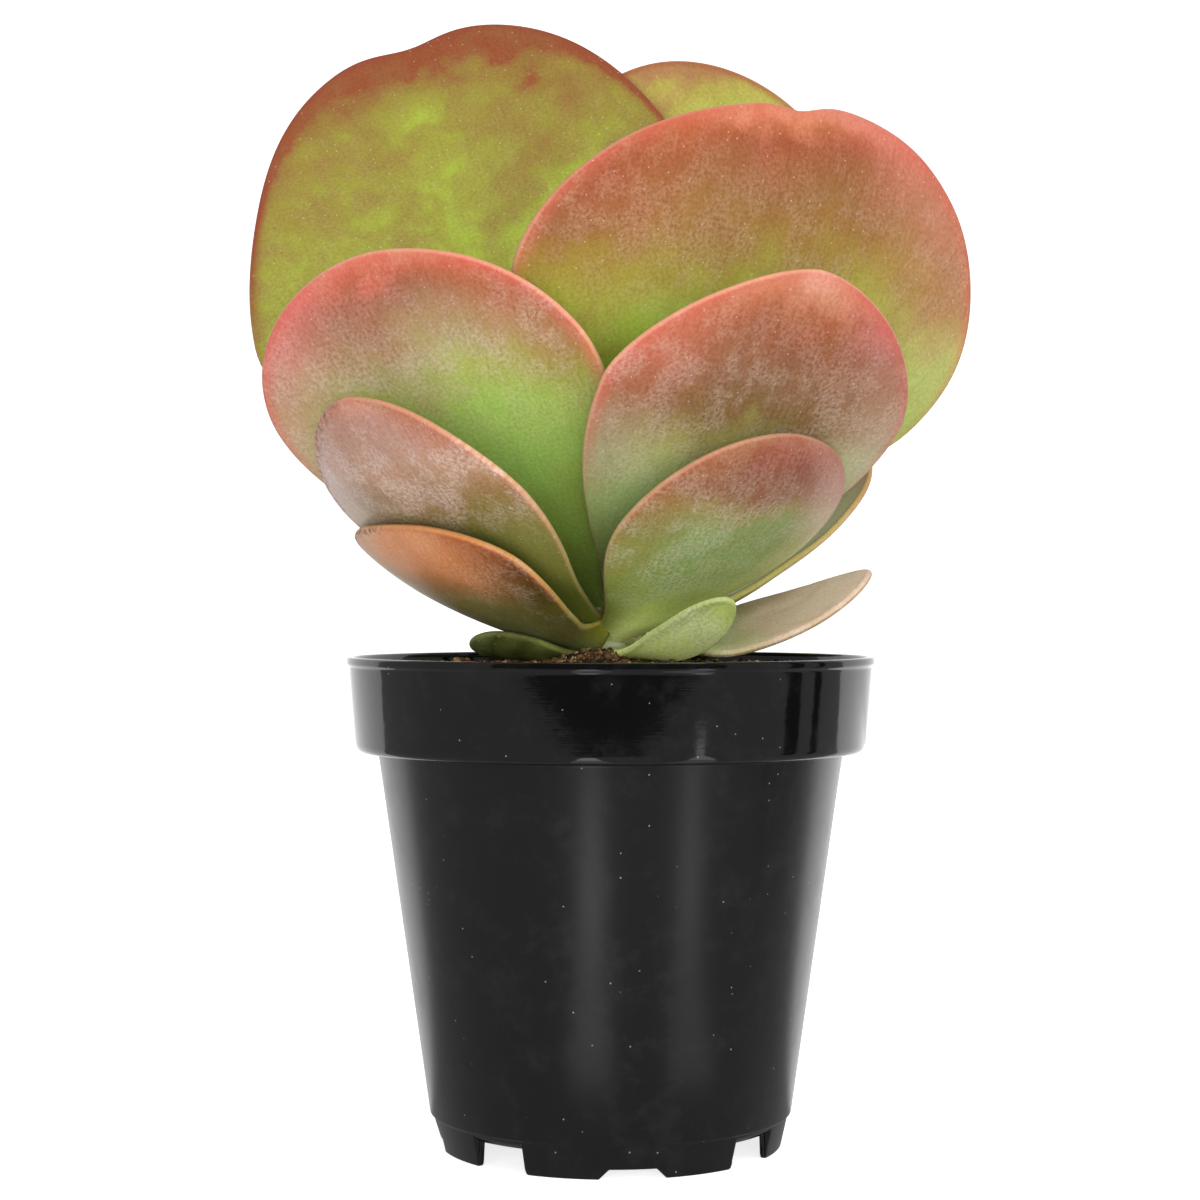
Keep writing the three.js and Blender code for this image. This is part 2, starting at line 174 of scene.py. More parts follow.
def make_piece(bm: bmesh.types.BMesh, name: str, material: bpy.types.Material,
               nodes: tuple[str, ...] = (), sharp: float = 180.0) -> bpy.types.Object:
    """Turns a finished shape into a piece that stands in the frame.

    Args:
        bm: the shape in millimetres from the pot's axis, which this closes.
        name: the piece's name.
        material: its finish.
        nodes: the solids that it stands for.
        sharp: the angle past which an edge is drawn sharp.

    Returns:
        The piece, with its place in its mesh.
    """
    bm.transform(TO_FRAME)
    bmesh.ops.recalc_face_normals(bm, faces=bm.faces)
    piece = make_object(bm, name, material)
    piece.data.set_sharp_from_angle(angle=math.radians(sharp))
    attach(piece, "root")
    if nodes:
        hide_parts(*nodes)
    logging.info("%s: %d faces", name, len(piece.data.polygons))
    return piece


def joined(parts: list[bmesh.types.BMesh]) -> bmesh.types.BMesh:
    """Joins shapes into one, and frees them.

    Args:
        parts: the shapes.

    Returns:
        The joined shape.
    """
    whole = bmesh.new()
    carrier = bpy.data.meshes.new("carrier")
    for part in parts:
        part.to_mesh(carrier)
        part.free()
        whole.from_mesh(carrier)
    bpy.data.meshes.remove(carrier)
    return whole


def turned(outline: list[Point], steps: int) -> bmesh.types.BMesh:
    """Spins an outline round the pot's axis.

    Args:
        outline: radius and height of each point.
        steps: how many steps make the full turn.

    Returns:
        The closed shape, in millimetres.
    """
    bm = bmesh.new()
    verts = [bm.verts.new((radius, 0, height)) for radius, height in outline]
    edges = [bm.edges.new(pair) for pair in zip(verts, verts[1:])]
    bmesh.ops.spin(bm, geom=verts + edges, axis=(0, 0, 1), cent=(0, 0, 0), angle=math.tau, steps=steps,
                   use_merge=True)
    bmesh.ops.remove_doubles(bm, verts=bm.verts, dist=WELD)
    return bm


def filleted(corners: list[tuple[float, float, float]], steps: int = 4) -> list[Point]:
    """Rounds the corners of an outline.

    Args:
        corners: each corner's radius from the axis, its height, and its rounding.
        steps: how many short lines make a round corner.

    Returns:
        The outline's points, with one more close to each end of a long straight, which keeps it straight
        to the light too.
    """
    points = []
    # A rounding takes up just under half of a side at most
    most = 0.49
    for i, (x, y, rounding) in enumerate(corners):
        here = Vector((x, y))
        if rounding == 0 or i in (0, len(corners) - 1):
            points.append((x, y))
            continue
        before = Vector(corners[i - 1][:2]) - here
        after = Vector(corners[i + 1][:2]) - here
        start = here + before.normalized() * min(rounding, before.length * most)
        end = here + after.normalized() * min(rounding, after.length * most)
        for j in range(steps + 1):
            share = j / steps
            bow = start.lerp(here, share).lerp(here.lerp(end, share), share)
            points.append((bow.x, bow.y))
    held = [points[0]]
    for start, end in zip(points, points[1:]):
        run = math.dist(start, end)
        if run > LONG:
            for share in (HOLD / run, 1 - HOLD / run):
                held.append((mix(start[0], end[0], share), mix(start[1], end[1], share)))
        held.append(end)
    return held


@dataclass(frozen=True)
class LeafSkin:
    """Living succulent leaf skin, smooth and waxy under a thin dusting of pale bloom.

    The wax gives a wide soft sheen, and the bloom turns it chalky in clouds and fine streaks. Sun turns the
    margin and the upper part red, so the colour runs from the foot's green through dusty brown to coral.

    Attributes:
        name: the material's name.
        outer: colours down the middle of the outer face by tone, from 0 at the foot to 1 at the tip.
        inner: colours of the inner face by tone.
        left: colours down the outer face's left flank, where they differ.
        right: colours down its right flank.
        blush: how much the tone rises towards the margin.
        blush_width: how far in from the margin that rise reaches, in mm.
        wander: how much clouds move the tone.
        band: colour of the band along the margin.
        band_width: its width in mm.
        band_share: how strongly it shows.
        edge: colour of the thin line on the very edge.
        bloom: strength of the pale bloom.
        bloom_color: its colour.
        bloom_start: tone at which it starts.
        veins: strength of the brown marbling.
        vein_color: its colour.
        dirt: strength of the soil specks along the lower left margin.
        seed: moves the patterns, so no two leaves are alike.
        ior: index of refraction of the wax.
        gloss: strength of its reflections.
    """

    name: str
    outer: Stops
    inner: Stops
    left: Stops = ()
    right: Stops = ()
    blush: float = 0.0
    blush_width: float = 6.0
    wander: float = 0.1
    band: str = "#b2694f"
    band_width: float = 2.0
    band_share: float = 0.3
    edge: str = "#dcb884"
    bloom: float = 0.5
    bloom_color: str = "#d3c8bb"
    bloom_start: float = 0.35
    veins: float = 0.12
    vein_color: str = "#8a6034"
    dirt: float = 0.0
    seed: float = 0.0
    ior: float = 1.42
    gloss: float = 0.18

    # Each pattern's size in mm, detail and roughness: large clouds, small mottling, the skin's grain, streaks
    # that fan out from the foot, and brown marbling
    PATTERNS = {
        "clouds": (22.22, 2.0, 0.55),
        "mottle": (6.25, 4.0, 0.62),
        "grain": (0.769, 2.0, 0.7),
        "streaks": (1.111, 3.0, 0.7),
        "marbling": (20.0, 3.0, 0.5),
    }
    # Sizes in mm of the soil specks, and of the cells that may each hold a dust speck 0.3 mm across
    SOIL_SPECK = 1.333
    DUST_CELL = 2.381
    DUST = "#e9e4da"
    SOIL = "#4a3425"

    def build(self) -> bpy.types.Material:
        """Builds the material from the leaf's own coordinates.

        Returns:
            The leaf's material.
        """
        material, tree = new_material(self.name)
        add = partial(add_node, tree)
        blade, marks, fan = [
            add("Attribute", None, "Vector", attribute_name=name) for name in ("blade", "marks", "fan")
        ]
        place = add("SeparateXYZ", {0: blade})
        across = place.node.outputs["Z"]
        along = add("SeparateXYZ", {0: marks}, "X")
        rim = along.node.outputs["Y"]
        under = along.node.outputs["Z"]
        moved = add("VectorMath", {0: blade, 1: (self.seed, self.seed * 0.7, 0)}, operation="ADD")
        streaked = add("VectorMath", {0: fan, 1: (self.seed, 0, 0)}, operation="ADD")
        clouds, mottle, grain, streaks, marbling = [
            add("TexNoise", {"Vector": streaked if name == "streaks" else moved, "Scale": 1 / size,
                             "Detail": detail, "Roughness": roughness}, noise_dimensions="2D")
            for name, (size, detail, roughness) in self.PATTERNS.items()
        ]
        # The tone rises from the foot to the tip and towards the margin, and clouds and mottling move it
        near = add("Math", {0: rim, 1: -1 / self.blush_width}, operation="MULTIPLY")
        near = add("Math", {0: near}, operation="EXPONENT")
        high = add("MapRange", {"Value": along, "From Min": 0.15, "From Max": 0.7, "To Max": self.blush})
        tone = add("Math", {0: near, 1: high, 2: along}, operation="MULTIPLY_ADD")
        hold = add("MapRange", {"Value": rim, "From Max": 12.0, "To Min": 0.15})
        drift = add("Math", {0: clouds, 1: 0.5}, operation="SUBTRACT")
        drift = add("Math", {0: drift, 1: hold}, operation="MULTIPLY")
        tone = add("Math", {0: drift, 1: self.wander * 3, 2: tone}, operation="MULTIPLY_ADD")
        fine = add("Math", {0: mottle, 1: 0.5}, operation="SUBTRACT")
        tone = add("Math", {0: fine, 1: self.wander * 0.9, 2: tone}, operation="MULTIPLY_ADD")
        outer = add("ValToRGB", {0: tone}, stops=self.outer)
        inner = add("ValToRGB", {0: tone}, stops=self.inner)
        for stops, end in ((self.left, -1.0), (self.right, 1.0)):
            if not stops:
                continue
            flank = add("ValToRGB", {0: tone}, stops=stops)
            share = add("MapRange", {"Value": across, "From Min": 0.3 * end, "From Max": 0.95 * end},
                        interpolation_type="SMOOTHSTEP")
            outer = add("Mix", {0: share, 6: outer, 7: flank}, 2, data_type="RGBA")
        color = add("Mix", {0: under, 6: inner, 7: outer}, 2, data_type="RGBA")
        # Brown marbling through the clouds, and a fine unevenness of tone
        vein = add("Math", {0: marbling, 1: 0.5}, operation="SUBTRACT")
        vein = add("Math", {0: vein}, operation="ABSOLUTE")
        vein = add("MapRange", {"Value": vein, "From Min": 0.13, "From Max": 0.0, "To Max": self.veins},
                   interpolation_type="SMOOTHSTEP")
        color = add("Mix", {0: vein, 6: color, 7: linear(self.vein_color)}, 2, data_type="RGBA")
        uneven = add("Math", {0: streaks, 1: 0.4, 2: grain}, operation="MULTIPLY_ADD")
        uneven = add("MapRange", {"Value": uneven, "From Min": 0.45, "From Max": 0.95, "To Min": 0.87,
                                  "To Max": 1.13})
        color = add("HueSaturation", {"Color": color, "Value": uneven})
        # The margin's band, with a soft inner limit
        reach = add("MapRange", {"Value": rim, "From Min": self.band_width * 2, "From Max": 0.0,
                                 "To Max": self.band_share}, interpolation_type="SMOOTHSTEP")
        raised = add("MapRange", {"Value": along, "From Min": 0.35, "From Max": 0.65})
        reach = add("Math", {0: reach, 1: raised}, operation="MULTIPLY")
        color = add("Mix", {0: reach, 6: color, 7: linear(self.band)}, 2, data_type="RGBA")
        # Pale bloom gathers in clouds, broken by grain and streaks
        patch = add("Math", {0: clouds, 1: 0.5, 2: mottle}, operation="MULTIPLY_ADD")
        patch = add("MapRange", {"Value": patch, "From Min": 0.62, "From Max": 0.88},
                    interpolation_type="SMOOTHSTEP")
        powder = add("Math", {0: streaks, 1: 0.3, 2: grain}, operation="MULTIPLY_ADD")
        powder = add("MapRange", {"Value": powder, "From Min": 0.42, "From Max": 0.92})
        cover = add("Math", {0: patch, 1: 0.8, 2: 0.2}, operation="MULTIPLY_ADD")
        dust = add("Math", {0: powder, 1: cover}, operation="MULTIPLY")
        rise = add("MapRange", {"Value": tone, "From Min": self.bloom_start - 0.18,
                                "From Max": self.bloom_start + 0.12, "To Max": self.bloom})
        fall = add("MapRange", {"Value": tone, "From Min": 0.76, "From Max": 0.95, "To Min": 1.0,
                                "To Max": 0.3})
        dust = add("Math", {0: dust, 1: rise}, operation="MULTIPLY")
        dust = add("Math", {0: dust, 1: fall}, operation="MULTIPLY")
        color = add("Mix", {0: dust, 6: color, 7: linear(self.bloom_color)}, 2, data_type="RGBA")
        # A few dust specks 0.3 mm across
        dots = add("TexVoronoi", {"Vector": moved, "Scale": 1 / self.DUST_CELL}, "Distance",
                   voronoi_dimensions="2D")
        chance = add("SeparateColor", {0: dots.node.outputs["Color"]})
        speck = add("MapRange", {"Value": dots, "From Min": 0.09, "From Max": 0.03})
        rare = add("Math", {0: chance, 1: 0.84}, operation="GREATER_THAN")
        speck = add("Math", {0: speck, 1: rare}, operation="MULTIPLY")
        speck = add("Math", {0: speck, 1: 0.35}, operation="MULTIPLY")
        color = add("Mix", {0: speck, 6: color, 7: linear(self.DUST)}, 2, data_type="RGBA")
        # Soil specks cling to the lower left margin
        if self.dirt:
            crumb = add("TexNoise", {"Vector": moved, "Scale": 1 / self.SOIL_SPECK, "Detail": 2.0},
                        noise_dimensions="2D")
            crumb = add("MapRange", {"Value": crumb, "From Min": 0.5, "From Max": 0.57, "To Max": self.dirt})
            left = add("MapRange", {"Value": place, "From Min": -3.0, "From Max": -9.0})
            low = add("MapRange", {"Value": rim, "From Min": 2.6, "From Max": 0.6})
            crumb = add("Math", {0: crumb, 1: left}, operation="MULTIPLY")
            crumb = add("Math", {0: crumb, 1: low}, operation="MULTIPLY")
            color = add("Mix", {0: crumb, 6: color, 7: linear(self.SOIL)}, 2, data_type="RGBA")
        # The thin line on the very edge
        line = add("MapRange", {"Value": rim, "From Min": 0.5, "From Max": 0.1, "To Max": 0.35})
        color = add("Mix", {0: line, 6: color, 7: linear(self.edge)}, 2, data_type="RGBA")
        # The grain raises the skin a little, and bloom makes it rougher
        bump = add("Bump", {"Height": grain, "Strength": 0.35, "Distance": 0.12 * MM})
        rough = add("MapRange", {"Value": dust, "From Max": 0.6, "To Min": 0.42, "To Max": 0.7})
        shader = add("BsdfPrincipled", {"Base Color": color, "Roughness": rough, "Normal": bump,
                                        "IOR": self.ior, "Specular IOR Level": self.gloss})
        add("OutputMaterial", {"Surface": shader})
        return material


@dataclass(frozen=True)
class PotPlastic:
    """Injection-moulded black polypropylene.

    It reflects softly on the wall and more sharply on the polished band. A thin film of dust and a few dust
    specks dull it in places, and faint marks run round the wall.

    Attributes:
        color: the plastic's colour at the foot of the wall, painted darker there as painted shade.
        painted_lighter_top: its colour at the top of the wall and on the band, painted lighter than at the
            foot.
        dust: the dust's colour.
        band_foot: height in mm above which it is polished.
        wall_roughness: roughness of the wall.
        band_roughness: roughness of the polished band.
        peel: size of the orange peel in mm.
        mark: size of the marks that run round the wall.
        film: size of the dusty film's patches.
        speck_cell: size of the cells that may each hold a dust speck 0.2 mm across.
        ior: the plastic's index of refraction.
    """

    color: str = "#050506"
    painted_lighter_top: str = "#0d0d0e"
    dust: str = "#8d8a80"
    band_foot: float = 80.6
    wall_roughness: float = 0.28
    band_roughness: float = 0.07
    peel: float = 4.545
    mark: float = 6.25
    film: float = 7.143
    speck_cell: float = 1.786
    ior: float = 1.48

    def build(self) -> bpy.types.Material:
        """Builds the material.

        Returns:
            The pot's material.
        """
        material, tree = new_material("moulded black polypropylene")
        add = partial(add_node, tree)
        spot = add("TexCoord", None, "Object")
        height = add("SeparateXYZ", {0: spot}, "Z")
        # Orange peel, and marks drawn out round the wall
        peel = add("TexNoise", {"Vector": spot, "Scale": 1 / (self.peel * MM), "Detail": 2.0})
        flow = add("Mapping", {"Vector": spot, "Scale": (1, 1, 14)})
        scratch = add("TexNoise", {"Vector": flow, "Scale": 1 / (self.mark * MM), "Detail": 3.0,
                                   "Roughness": 0.7})
        # The film of dust, and its specks
        marks = add("TexNoise", {"Vector": spot, "Scale": 1 / (self.film * MM), "Detail": 5.0,
                                 "Roughness": 0.7})
        dots = add("TexVoronoi", {"Vector": spot, "Scale": 1 / (self.speck_cell * MM)}, "Distance")
        chance = add("SeparateColor", {0: dots.node.outputs["Color"]})
        speck = add("MapRange", {"Value": dots, "From Min": 0.12, "From Max": 0.05, "To Max": 0.8})
        rare = add("Math", {0: chance, 1: 0.87}, operation="GREATER_THAN")
        speck = add("Math", {0: speck, 1: rare}, operation="MULTIPLY")
        film = add("MapRange", {"Value": marks, "From Min": 0.5, "From Max": 0.8, "To Max": 0.03})
        # Painted shade: the plastic is painted darker towards the foot of the wall and lighter towards the
        # top
        upper = add("MapRange", {"Value": height, "From Max": self.band_foot * MM})
        color = add("Mix", {0: upper, 6: linear(self.color), 7: linear(self.painted_lighter_top)}, 2, data_type="RGBA")
        color = add("Mix", {0: film, 6: color, 7: linear(self.dust)}, 2, data_type="RGBA")
        color = add("Mix", {0: speck, 6: color, 7: linear(self.dust)}, 2, data_type="RGBA")
        polish = add("MapRange", {
            "Value": height, "From Min": (self.band_foot - 0.5) * MM, "From Max": (self.band_foot + 0.5) * MM,
            "To Min": self.wall_roughness, "To Max": self.band_roughness,
        })
        rough = add("Math", {0: film, 1: 2.0, 2: polish}, operation="MULTIPLY_ADD")
        relief = add("Math", {0: scratch, 1: 0.15, 2: peel}, operation="MULTIPLY_ADD")
        bump = add("Bump", {"Height": relief, "Strength": 0.25, "Distance": 0.1 * MM})
        shader = add("BsdfPrincipled", {"Base Color": color, "Roughness": rough, "Normal": bump,
                                        "IOR": self.ior})
        add("OutputMaterial", {"Surface": shader})
        return material


@dataclass(frozen=True)
class Compost:
    """Peat and bark compost, sieved and dried on top: matt crumbs from near black to tan.

    Attributes:
        name: the material's name.
        crumbs: colours from the darkest crumb to the palest.
        grit: size of its grit in mm.
    """

    name: str = "dry peat compost"
    crumbs: Stops = (
        (0.0, "#241b14"), (0.35, "#453222"), (0.6, "#6f563a"), (0.82, "#a3845a"), (1.0, "#dcc498"),
    )
    grit: float = 0.833

    def build(self) -> bpy.types.Material:
        """Builds the material, whose colour follows each crumb's own shade.

        Returns:
            The compost's material.
        """
        material, tree = new_material(self.name)
        add = partial(add_node, tree)
        spot = add("TexCoord", None, "Object")
        shade = add("Attribute", None, "Fac", attribute_name="shade")
        grit = add("TexNoise", {"Vector": spot, "Scale": 1 / (self.grit * MM), "Detail": 3.0,
                                "Roughness": 0.7})
        tone = add("Math", {0: grit, 1: 0.5, 2: shade}, operation="MULTIPLY_ADD")
        tone = add("Math", {0: tone, 1: 0.25}, operation="SUBTRACT")
        color = add("ValToRGB", {0: tone}, stops=self.crumbs)
        bump = add("Bump", {"Height": grit, "Strength": 0.8, "Distance": 0.3 * MM})
        shader = add("BsdfPrincipled", {"Base Color": color, "Roughness": 0.85, "Normal": bump,
                                        "Specular IOR Level": 0.25})
        add("OutputMaterial", {"Surface": shader})
        return material


@dataclass(frozen=True)
class StemSkin:
    """Young stem skin: pale grey-green, matt, with brownish corky scars where old leaves sat.

    Attributes:
        name: the material's name.
        fresh: colour of the young skin.
        corky: colour of the cork.
        fleck: size of its flecks in mm.
    """

    name: str = "pale corky stem skin"
    fresh: str = "#a9b18b"
    corky: str = "#8c7a5d"
    fleck: float = 2.381

    def build(self) -> bpy.types.Material:
        """Builds the material.

        Returns:
            The stem's material.
        """
        material, tree = new_material(self.name)
        add = partial(add_node, tree)
        spot = add("TexCoord", None, "Object")
        # Flecks of cork that lie round the stem
        flat = add("Mapping", {"Vector": spot, "Scale": (1, 1, 2.5)})
        cork = add("TexNoise", {"Vector": flat, "Scale": 1 / (self.fleck * MM), "Detail": 4.0,
                                "Roughness": 0.6})
        share = add("MapRange", {"Value": cork, "From Min": 0.42, "From Max": 0.62})
        color = add("Mix", {0: share, 6: linear(self.fresh), 7: linear(self.corky)}, 2, data_type="RGBA")
        bump = add("Bump", {"Height": cork, "Strength": 0.5, "Distance": 0.3 * MM})
        shader = add("BsdfPrincipled", {"Base Color": color, "Roughness": 0.7, "Normal": bump})
        add("OutputMaterial", {"Surface": shader})
        return material


@dataclass(frozen=True)
class Whorl:
    """Where a pair of leaves leaves its stem: place, stem radius and the width of each foot."""

    z: float
    radius: float
    foot: float
    x: float = STEM_X
    y: float = 0.0


@dataclass(frozen=True)
class Nick:
    """A small torn place in a margin: where along the leaf, on which side, how wide and how deep."""

    along: float
    side: int
    width: float
    depth: float


@dataclass(frozen=True)
class Station:
    """One place along a midrib, with the directions across the blade and out of its upper face."""

    place: Vector
    side: Vector
    face: Vector
    along: Vector


@dataclass
class PaddleLeaf:
    """A thick round paddle leaf that rises from the stem on a broad clasping foot.

    Attributes:
        name: the solid that the leaf stands for.
        slot: the name of a material slot, which is not used.
        whorl: where it leaves the stem.
        base: azimuth of its foot.
        azimuth: azimuth that it swings to.
        rise: slope of the midrib at foot and tip.
        length: length of the midrib in mm.
        width: greatest width in mm.
        widest: share of the length at which it is widest.
        taper: how the outline narrows below that place.
        round: how the outline closes above it.
        skin: its finish.
        turn: roll of the blade about its midrib.
        sweep: how far the midrib bends sideways, as a share of the length.
        cup: curvature of the trough in 1/mm.
        skew: how far the widest place differs from side to side.
        notch: depth of the dent at the tip, as a share.
        lobe: strength of the outline's slow waves.
        lobe_phase: where those waves start.
        foot_thickness: thickness at the foot in mm.
        thickness: thickness of the middle in mm.
        edge: thickness of the margin in mm.
        around: points round a section.
        rows: sections from foot to tip.
        swell: height of the blade's slow swellings in mm.
        nicks: torn places in the margin.
        stations: the midrib's stations, once it is built.
    """

    name: str
    slot: str
    whorl: Whorl
    base: float
    azimuth: float
    rise: Point
    length: float
    width: float
    widest: float
    taper: float
    round: float
    skin: LeafSkin
    turn: float = 0.0
    sweep: float = 0.0
    cup: float = 0.004
    skew: float = 0.0
    notch: float = 0.0
    lobe: float = 0.0
    lobe_phase: float = 0.0
    foot_thickness: float = 3.0
    thickness: float = 2.9
    edge: float = 1.3
    around: int = 96
    rows: int = 72
    swell: float = 0.3
    nicks: tuple[Nick, ...] = ()
    stations: list[Station] = field(default_factory=list, init=False)

    # How many steps the midrib has, and the shares of its length at which it ends, and at which its roll, its
    # swing and its foot's thickness end
    STATIONS = 60
    RIB_END = 1.12
    ROLL_END = 0.45
    SWING_END = 0.3
    FOOT_REACH = 0.35
    # The foot's extra curvature in 1/mm, how fast it fades, and how deep the foot sits in the stem in mm
    CLASP = 0.1
    CLASP_REACH = 0.1
    FOOT_DEPTH = 2.5
    # Half the width of the dent at the tip in radians, and how many slow waves go round the outline
    NOTCH_WIDTH = 0.13
    WAVES = 3
    # Size of the swellings in mm
    SWELLING = 17
    # The fan of veins starts this far below the foot, spreads this many mm for a radian and is drawn out so
    # many times along
    FAN_START = 12
    FAN_SPREAD = 60
    FAN_STRETCH = 9

    def midrib(self) -> list[Station]:
        """Walks along the midrib in even steps.

        Returns:
            The stations from the foot to just past the tip.
        """
        up = Vector((0, 0, 1))
        start = math.radians(self.base)
        place = Vector((self.whorl.x, self.whorl.y, self.whorl.z))
        place += Vector((math.sin(start), -math.cos(start), 0)) * self.whorl.radius
        step = self.length * self.RIB_END / self.STATIONS / 2
        stations = []
        before = None
        for i in range(self.STATIONS + 1):
            s = self.RIB_END * i / self.STATIONS
            slope = math.radians(mix(*self.rise, s))
            heading = math.radians(mix(self.base, self.azimuth, ease(s / self.SWING_END)))
            roll = math.radians(self.turn) * ease(s / self.ROLL_END)
            out = Vector((math.sin(heading), -math.cos(heading), 0))
            across = Vector((math.cos(heading), math.sin(heading), 0))
            along = out * math.cos(slope) + up * math.sin(slope)
            normal = up * math.cos(slope) - out * math.sin(slope)
            if before:
                place = place + (before + along) * step
            before = along
            side = across * math.cos(roll) + normal * math.sin(roll)
            face = normal * math.cos(roll) - across * math.sin(roll)
            swept = place + side * (self.sweep * self.length * s * s)
            stations.append(Station(swept, side, face, along))
        return stations

    def station(self, s: float) -> Station:
        """Gives the midrib's station at a share of its length.

        Args:
            s: the share, below 0 for a place behind the foot.

        Returns:
            The station.
        """
        first = self.stations[0]
        if s < 0:
            return Station(first.place + first.along * s * self.length, first.side, first.face, first.along)
        at = clip(s / self.RIB_END) * self.STATIONS
        i = min(int(at), self.STATIONS - 1)
        a, b, share = self.stations[i], self.stations[i + 1], at - i
        return Station(a.place.lerp(b.place, share), a.side.lerp(b.side, share), a.face.lerp(b.face, share),
                       a.along)

    def flat_point(self, s: float, v: float) -> tuple[float, float, float, float]:
        """Places a point of the flat outline.

        Args:
            s: share of the way from foot to tip.
            v: share of the way from the midrib to the margin, negative to the left.

        Returns:
            Across and along in mm, nearness to the margin from 0 to 1, and distance from it in mm.
        """
        half, foot = self.width / 2, self.whorl.foot / 2
        widest = self.widest + self.skew * v
        beyond = clip((s - widest) / (1 - widest))
        below = foot + (half - foot) * math.sin(math.pi / 2 * clip(s / widest)) ** self.taper
        above = half * (1 - beyond**self.round) ** (1 / self.round)
        breadth = below if s < widest else above
        for nick in self.nicks:
            if v * nick.side > 0:
                breadth -= nick.depth * math.exp(-(((s - nick.along) / nick.width) ** 2))
        x, y = v * breadth, s * self.length
        centre = self.widest * self.length
        if s < widest:
            margin = abs(v)
            inside = (1 - margin) * breadth
        else:
            margin = (abs(x / half) ** self.round + beyond**self.round) ** (1 / self.round)
            inside = math.hypot(x, y - centre) * max(0.0, 1 - margin) / max(margin, 0.1)
        turn = math.atan2(x, y - centre)
        wave = math.cos(self.WAVES * turn - math.radians(self.lobe_phase))
        lobed = self.lobe * wave * (1 + math.cos(turn)) / 2
        notched = self.notch * math.exp(-((turn / self.NOTCH_WIDTH) ** 2))
        stretch = 1 + (lobed - notched) * margin**3
        return x * stretch, centre + (y - centre) * stretch, margin, inside

    def blade_point(self, s: float, v: float, under: bool) -> tuple[Vector, Vector, Vector, Vector]:
        """Places a point of the leaf's skin.

        Args:
            s: share of the way from foot to tip.
            v: share of the way from the midrib to the margin.
            under: whether it lies on the outer face, which is the lower one.

        Returns:
            The point, and what the skin's patterns read there: its place in the flat blade, its place along,
            from the margin and on which face, and its place in the fan of veins.
        """
        x, y, margin, inside = self.flat_point(s, v)
        station = self.station(y / self.length)
        bend = self.cup + (self.CLASP - self.cup) * math.exp(-max(0.0, y / self.length) / self.CLASP_REACH)
        angle = bend * x
        middle = station.place + station.side * (math.sin(angle) / bend)
        middle += station.face * ((1 - math.cos(angle)) / bend)
        normal = station.face * math.cos(angle) - station.side * math.sin(angle)
        body = mix(self.foot_thickness, self.thickness, ease(s / self.FOOT_REACH))
        rounding = math.sqrt(1 - (1 - clip(inside / (self.edge / 2))) ** 2)
        half = mix(body, self.edge, margin**3) / 2 * rounding
        spot = Vector((x / self.SWELLING, y / self.SWELLING, self.skin.seed))
        swelling = noise.noise(spot) * self.swell * ease(s * 3)
        point = middle + normal * (swelling + (-half if under else half))
        reach = y + self.FAN_START
        fan = Vector((math.atan2(x, reach) * self.FAN_SPREAD, math.hypot(x, reach) / self.FAN_STRETCH, 0))
        return point, Vector((x, y, v)), Vector((s, inside, 1.0 if under else 0.0)), fan

    def build(self) -> bpy.types.Object:
        """Bends a grid round the blade, one way round the section and the other from foot to tip.

        Returns:
            The leaf.
        """
        self.stations = self.midrib()
        bm = bmesh.new()
        bmesh.ops.create_grid(bm, x_segments=self.around, y_segments=self.rows, size=0.5)
        blade, marks, fan = [bm.verts.layers.float_vector.new(name) for name in ("blade", "marks", "fan")]
        foot = -self.FOOT_DEPTH / self.length
        for vert in bm.verts:
            round_section = math.tau * (vert.co.x + 0.5)
            s = mix(foot, 1, math.sin(math.pi / 2 * (vert.co.y + 0.5)))
            v = math.cos(round_section)
            vert.co, vert[blade], vert[marks], vert[fan] = self.blade_point(s, v, round_section > math.pi)
        bmesh.ops.remove_doubles(bm, verts=bm.verts, dist=WELD)
        bmesh.ops.holes_fill(bm, edges=bm.edges)
        return make_piece(bm, "grown_" + self.name, self.skin.build(), (self.name,))


